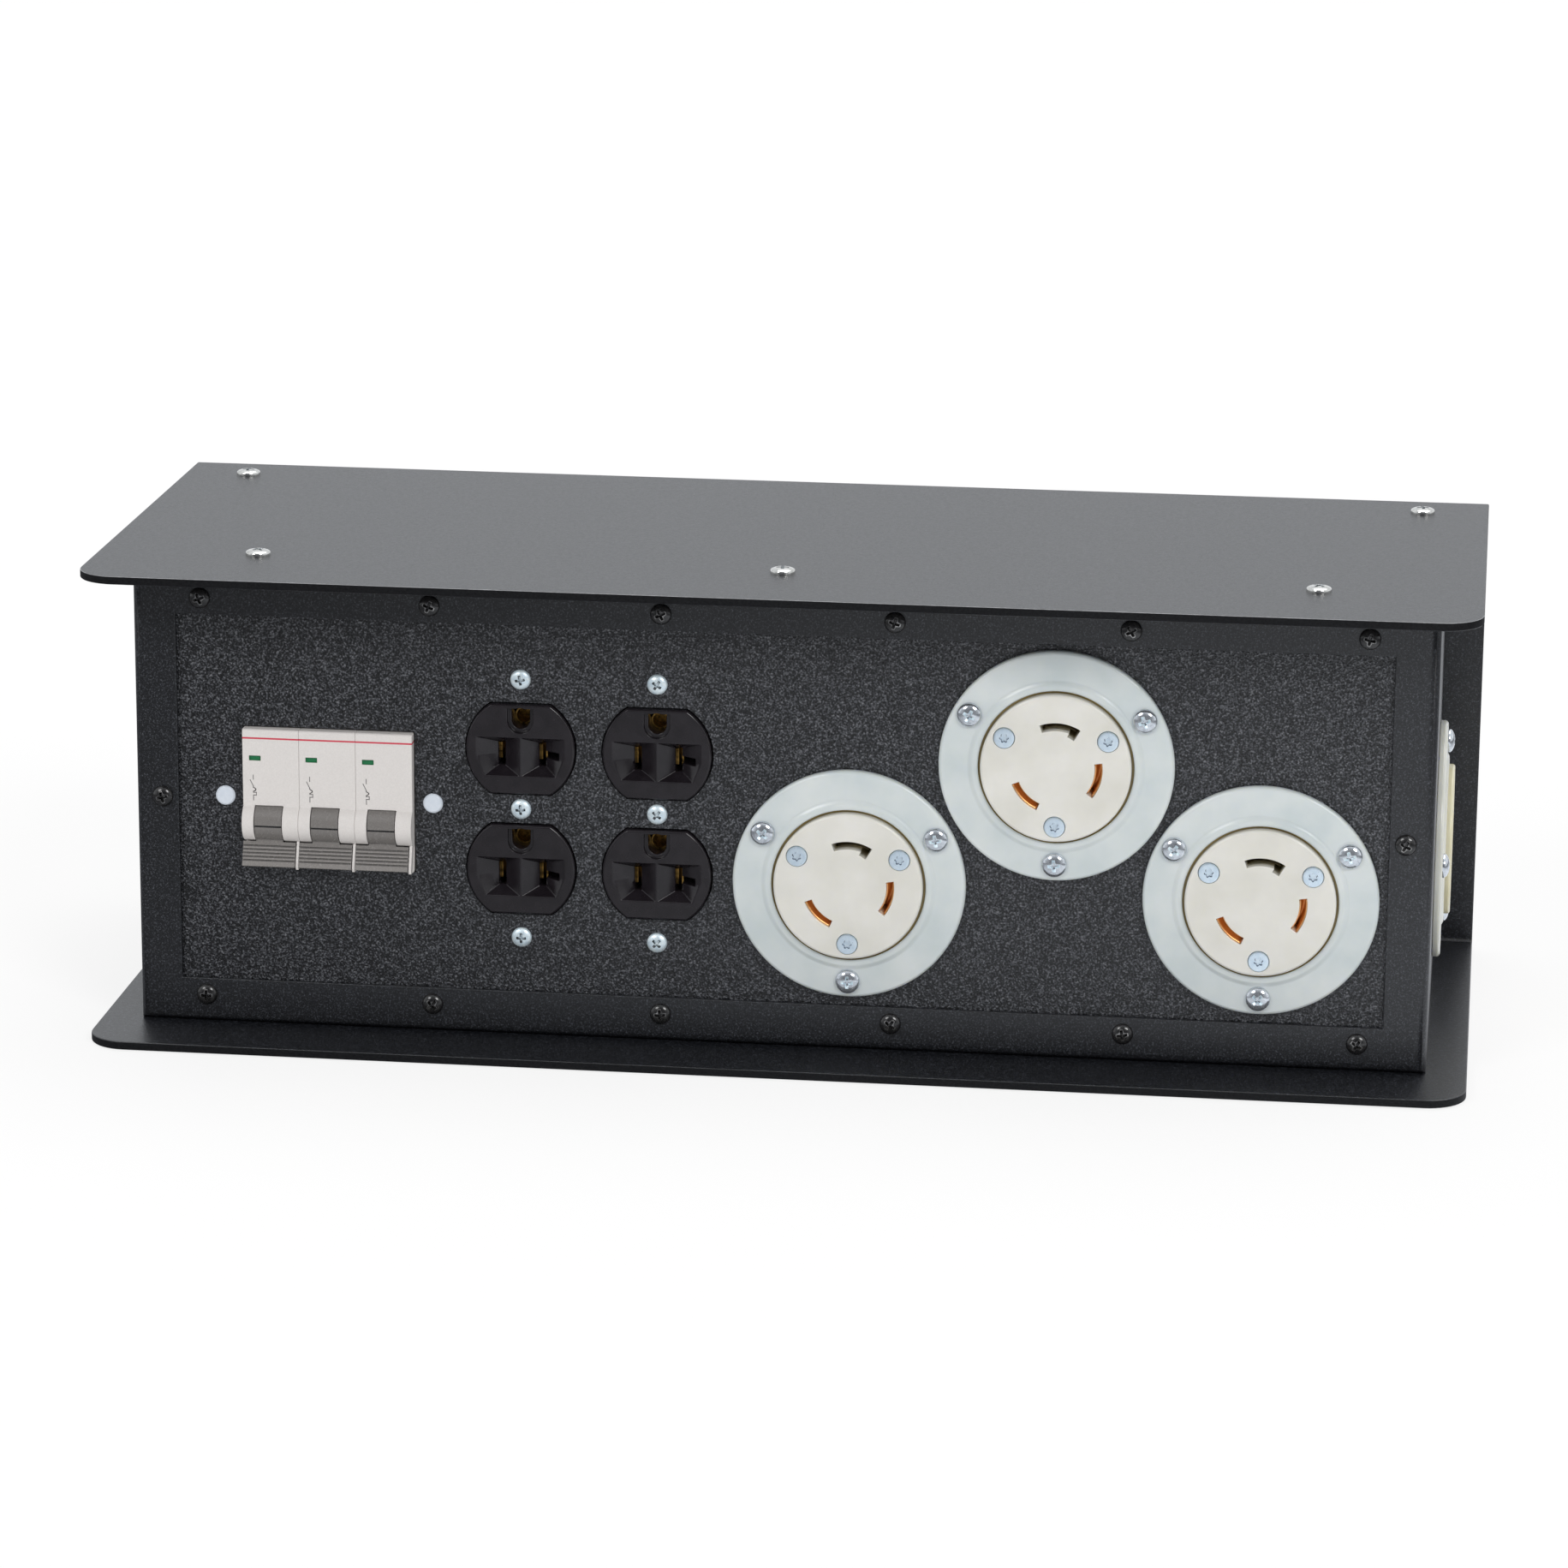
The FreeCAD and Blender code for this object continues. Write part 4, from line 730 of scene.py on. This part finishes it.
def arc(radius, height, size, start, end, steps):
    """Points of an arc about (radius, height), from one angle to another in degrees."""
    angles = [math.radians(start + (end - start) * i / steps) for i in range(steps + 1)]
    return [(radius + size * math.cos(angle), height + size * math.sin(angle))
            for angle in angles]


def flange_profile(radius, bore, ledge):
    """Section of a moulded flange in millimetres: a round rim, a flat and a swelling at the bore.

    The flat carries the screws. A ledge reaches in from the bore to a radius of its own."""
    ledge_level = 1.9
    sheet = 2.6
    lip = 0.7
    rim = 1.2
    inner = 0.7
    foot = 0.3
    flat_end = bore + 3.55
    crown = bore + 1.55
    steps = 10
    swelling = []
    for i in range(steps + 1):
        part = i / steps
        rise = part * part * (3 - 2 * part)
        swelling.append((flat_end + (crown - flat_end) * part, sheet + lip * rise))
    top = sheet + lip
    outline = [(bore, 0), (radius - foot, 0), (radius, foot)]
    outline += arc(radius - rim, sheet - rim, rim, 0, 90, 8)
    outline += swelling
    outline += arc(bore + inner, top - inner, inner, 90, 180, 6)
    if ledge < bore:
        outline += [(bore, ledge_level), (ledge, ledge_level), (ledge, foot), (bore, foot)]
    return outline


def dress_flanges(finishes):
    """Turned flanges with soft edges stand for the CAD ones, on the same axes."""
    # the ledge in each outlet's gap is painted yellow-brown: painted glow of light through the
    # nylon, and shade
    painted_glow_and_shade = nylon("painted_glow_and_shade_nylon", (0.26, 0.19, 0.06), (0.36, 0.28, 0.10), 1.0)
    ivory = nylon("ivory_nylon", (0.68, 0.69, 0.635), (0.755, 0.76, 0.71), 2.5)
    clearance = 0.06
    outlet_bore = 24.05
    inlet_bore = 24.6
    round_steps = 160
    core_low, core_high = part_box("outlet_core_1")
    core = (core_high - core_low).x / 2 / MM
    pale = finishes["pale_nylon"]
    ledge = core + clearance
    jobs = [(f"outlet_flange_{i}", FORWARD, outlet_bore, ledge, pale) for i in (1, 2, 3)]
    jobs.append(("inlet_flange", RIGHTWARD, inlet_bore, inlet_bore, ivory))
    for node, outward, bore, ledge, finish in jobs:
        low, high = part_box(node)
        middle = (low + high) / 2
        seat = middle - outward * (high - low).dot(abs_vector(outward)) / 2
        radius = (high - low).z / 2 / MM
        ring = lathe(flange_profile(radius, bore, ledge), round_steps)
        for face in ring.faces:
            place = face.calc_center_median() / MM
            inside = math.hypot(place.x, place.y) < bore + clearance
            # ledge faces take the painted glow and shade
            face.material_index = int(ledge < bore and inside)
        mesh = bpy.data.meshes.new(f"{node}_moulded")
        ring.to_mesh(mesh)
        ring.free()
        upright = outward.to_track_quat("Z", "Y").to_matrix().to_4x4()
        mesh.transform(Matrix.Translation(seat) @ upright)
        finish_piece(mesh, "box", finish, "pale_nylon", node)
        mesh.materials.append(painted_glow_and_shade)


def abs_vector(vector):
    """The vector with all its parts made positive."""
    return Vector([abs(part) for part in vector])


# Softened copies of CAD nodes

def soften(node, body, width, angle, material, slot, wider=1.0):
    """A copy of a CAD node whose edges are rounded by this width in millimetres.

    Edges that turn by less than the angle, in degrees, stay. The copy may be wider along X."""
    mesh = welded(node)
    bmesh.ops.dissolve_limit(mesh, angle_limit=math.radians(FLAT_ANGLE), verts=mesh.verts,
                             edges=mesh.edges)
    low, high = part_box(node)
    middle = (low.x + high.x) / 2
    for vert in mesh.verts:
        vert.co.x = middle + (vert.co.x - middle) * wider
    limit = math.radians(angle)
    sharp = [edge for edge in mesh.edges if edge.is_manifold and edge.calc_face_angle(0) > limit]
    bmesh.ops.bevel(mesh, geom=sharp, offset=width * MM, offset_type="OFFSET", segments=3,
                    profile=0.5, affect="EDGES", clamp_overlap=False)
    bmesh.ops.dissolve_degenerate(mesh, dist=MERGE_DISTANCE, edges=mesh.edges)
    data = bpy.data.meshes.new(f"{node}_softened")
    mesh.to_mesh(data)
    mesh.free()
    piece = finish_piece(data, body, material, slot, node)
    piece.modifiers.new("even_shading", "WEIGHTED_NORMAL").keep_sharp = True
    return piece


def darken_edges(piece):
    """The guard's plates get painted shade on their cut edges, and the front rim of the top plate
    gets a painted highlight.
    """
    upright = 0.3
    level = 0.95
    sheet = 3.0 * MM
    low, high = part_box("channel_guard")
    for face in piece.data.polygons:
        on_top = face.center.z > high.z - sheet
        near_plate = on_top or face.center.z < low.z + sheet
        if near_plate and abs(face.normal.z) < upright:
            # painted shade on the plates' cut edges
            face.material_index = 1
        elif on_top and upright <= face.normal.z < level and face.normal.y < 0:
            # painted highlight on the front rim of the top plate
            face.material_index = 2
    piece.data.materials.append(painted_shade_edge())
    piece.data.materials.append(painted_highlight_rim())


def dress_nodes(finishes):
    """Each carried-over CAD node takes the finish of its slot."""
    for part in frame["record"]["subparts"]:
        data = nodes[part["node"]].data
        data.materials.clear()
        data.materials.append(finishes[part["material_slot"]])
    # the receptacle contacts are painted dark as the shade deep in their holes, with patches
    # standing for painted glints
    painted_shade_brass = contact_metal("painted_shade_and_glint_brass", (0.03, 0.018, 0.006), (0.52, 0.31, 0.085), patch=1.2)
    for node in ("duplex_contacts_1", "duplex_contacts_2"):
        nodes[node].data.materials[0] = painted_shade_brass


def dull_grounds(finishes):
    """In each locking outlet, the ground contact is the highest and is dull."""
    dull = contact_metal("dull_brass", (0.07, 0.055, 0.03), (0.19, 0.15, 0.09))
    for i in (1, 2, 3):
        node = f"outlet_contacts_{i}"
        mesh = welded(node)
        highest = max(islands(mesh), key=lambda group: max(vert.co.z for vert in group))
        for vert in highest:
            for face in vert.link_faces:
                face.material_index = 1
        data = bpy.data.meshes.new(f"{node}_toned")
        mesh.to_mesh(data)
        mesh.free()
        finish_piece(data, "box", finishes["contact_brass"], "contact_brass", node)
        data.materials.append(dull)


def soften_nodes(finishes):
    """Sheet edges and mouldings with the small radii that catch the light."""
    square = 50
    slanted = 18
    seam_cover = 1.009
    slots = {part["node"]: part["material_slot"] for part in frame["record"]["subparts"]}
    jobs = [("channel_guard", "box", 0.4, square, 1), ("box_shell", "box", 0.3, square, 1),
            ("rail_rivets", "box", 0.25, square, 1)]
    for i in (1, 2, 3):
        jobs.append((f"breaker_case_{i}", "box", 0.2, square, seam_cover))
        jobs.append((f"breaker_toggle_{i}", f"breaker_toggle_{i}", 0.1, square, 1))
    for i in (1, 2):
        jobs.append((f"duplex_body_{i}", "box", 0.25, slanted, 1))
    for node, body, width, angle, wider in jobs:
        piece = soften(node, body, width, angle, finishes[slots[node]], slots[node], wider)
        if node == "channel_guard":
            darken_edges(piece)
    yellowed = nylon("yellowed_nylon", (0.70, 0.66, 0.47), (0.78, 0.745, 0.57), 1.5)
    soften("inlet_cup", "box", 0.3, square, yellowed, slots["inlet_cup"])
    # the core's slot and side walls get painted shade and glow from this depth on
    painted_glow_from = 2.0 * MM
    core_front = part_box("outlet_core_1")[0].y
    walls = core_front + painted_glow_from
    core_nylon = nylon("core_nylon", (0.70, 0.69, 0.635), (0.78, 0.77, 0.73), 1.5, walls)
    for i in (1, 2, 3):
        soften(f"outlet_core_{i}", "box", 0.25, square, core_nylon, "cream_nylon")


# Cheeks and line symbols of the breakers

def add_cheeks(finishes):
    """A thin wall of the case at the right of each paddle, clear of it and of the next one.

    The side view has points of (y, z), from the panel's face and the case's middle."""
    side_view = [(-2.5, -13.4), (-5.1, -20.9), (-4.7, -22.2), (-1.7, -22.3), (0.5, -14.3)]
    left = 7.95
    right = 8.75
    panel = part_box("front_panel")[0].y
    mesh = bmesh.new()
    for i in (1, 2, 3):
        low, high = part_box(f"breaker_case_{i}")
        origin = Vector(((low.x + high.x) / 2, panel, (low.z + high.z) / 2))
        rows = []
        for x in (left, right):
            rows.append([mesh.verts.new(origin + Vector((x, y, z)) * MM) for y, z in side_view])
        mesh.faces.new(rows[0])
        mesh.faces.new(reversed(rows[1]))
        for j in range(len(side_view)):
            after = (j + 1) % len(side_view)
            mesh.faces.new((rows[0][j], rows[1][j], rows[1][after], rows[0][after]))
    bmesh.ops.recalc_face_normals(mesh, faces=mesh.faces)
    data = bpy.data.meshes.new("breaker_cheeks")
    mesh.to_mesh(data)
    mesh.free()
    finish_piece(data, "box", finishes["light_grey_plastic"], "light_grey_plastic")


def symbol_lines():
    """A breaker's circuit symbol: a stub, a contact, a coil and a heater.

    Its points are in millimetres from the middle of the nose."""
    stem = -5.6
    jog = -4.7
    blade = -6.6
    coil_top = 3.6
    coil_height = 1.3
    coil_width = 0.8
    coil_steps = 12
    stub = [(stem, 7.6), (stem, 6.2)]
    contact = [(blade, 6.0), (stem, 4.0), (stem, coil_top)]
    coil = []
    for i in range(coil_steps + 1):
        out = coil_width * math.sin(math.radians(15 * i))
        coil.append((stem + out, coil_top - coil_height * i / coil_steps))
    heater = [(stem, 2.3), (stem, 2.0), (jog, 2.0), (jog, 1.1), (stem, 1.1), (stem, -0.5)]
    return [stub, contact, coil, heater]


def stroke(mesh, start, end, wide, thick):
    """A flat bar from one point to another in the plane of the label faces."""
    along = (end - start).normalized()
    across = along.cross(FORWARD) * wide / 2
    overlap = along * wide / 2
    lift = FORWARD * thick
    first = start - overlap
    last = end + overlap
    base = [first - across, last - across, last + across, first + across]
    low = [mesh.verts.new(corner) for corner in base]
    high = [mesh.verts.new(corner + lift) for corner in base]
    mesh.faces.new(low)
    mesh.faces.new(reversed(high))
    for i in range(4):
        after = (i + 1) % 4
        mesh.faces.new((low[after], low[i], high[i], high[after]))


def print_symbols():
    """Thin print on the three label faces."""
    ink, tree, surface = new_material("grey_ink")
    grain = noise(tree, 0.5, 2)
    paint(tree, surface, two_tone(tree, grain, (0.14, 0.13, 0.13), (0.24, 0.23, 0.23)))
    plain(surface, 0.6, 0.3)
    line_width = 0.26 * MM
    line_thickness = 0.02 * MM
    label_proud = 3.0
    flag_rise = 13.05
    flag_height = 1.6
    flag_gap = 0.2
    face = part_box("front_panel")[0].y - label_proud * MM
    mesh = bmesh.new()
    for i in (1, 2, 3):
        low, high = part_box(f"breaker_case_{i}")
        flag_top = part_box(f"breaker_flag_{i}")[1].z
        level = flag_top - (flag_rise + flag_height / 2 + flag_gap) * MM
        origin = Vector(((low.x + high.x) / 2, face, level))
        for line in symbol_lines():
            points = [origin + Vector((x * MM, 0, z * MM)) for x, z in line]
            for start, end in zip(points, points[1:]):
                stroke(mesh, start, end, line_width, line_thickness)
    bmesh.ops.recalc_face_normals(mesh, faces=mesh.faces)
    data = bpy.data.meshes.new("breaker_symbols")
    mesh.to_mesh(data)
    mesh.free()
    finish_piece(data, "box", ink, "dark_grey_plastic")


make_camera()
make_sun("right", azimuth=38, elevation=36, strength=0.95, spread=20)
make_sun("left", azimuth=-36, elevation=36, strength=0.65, spread=20)
make_sun("overhead", azimuth=160, elevation=72, strength=1.3, spread=50)
make_world()
make_floor()
all_finishes = make_materials()
dress_nodes(all_finishes)
soften_nodes(all_finishes)
dull_grounds(all_finishes)
add_cheeks(all_finishes)
print_symbols()
dress_flanges(all_finishes)
dress_screws(all_finishes)
bpy.context.scene.view_settings.view_transform = "Standard"
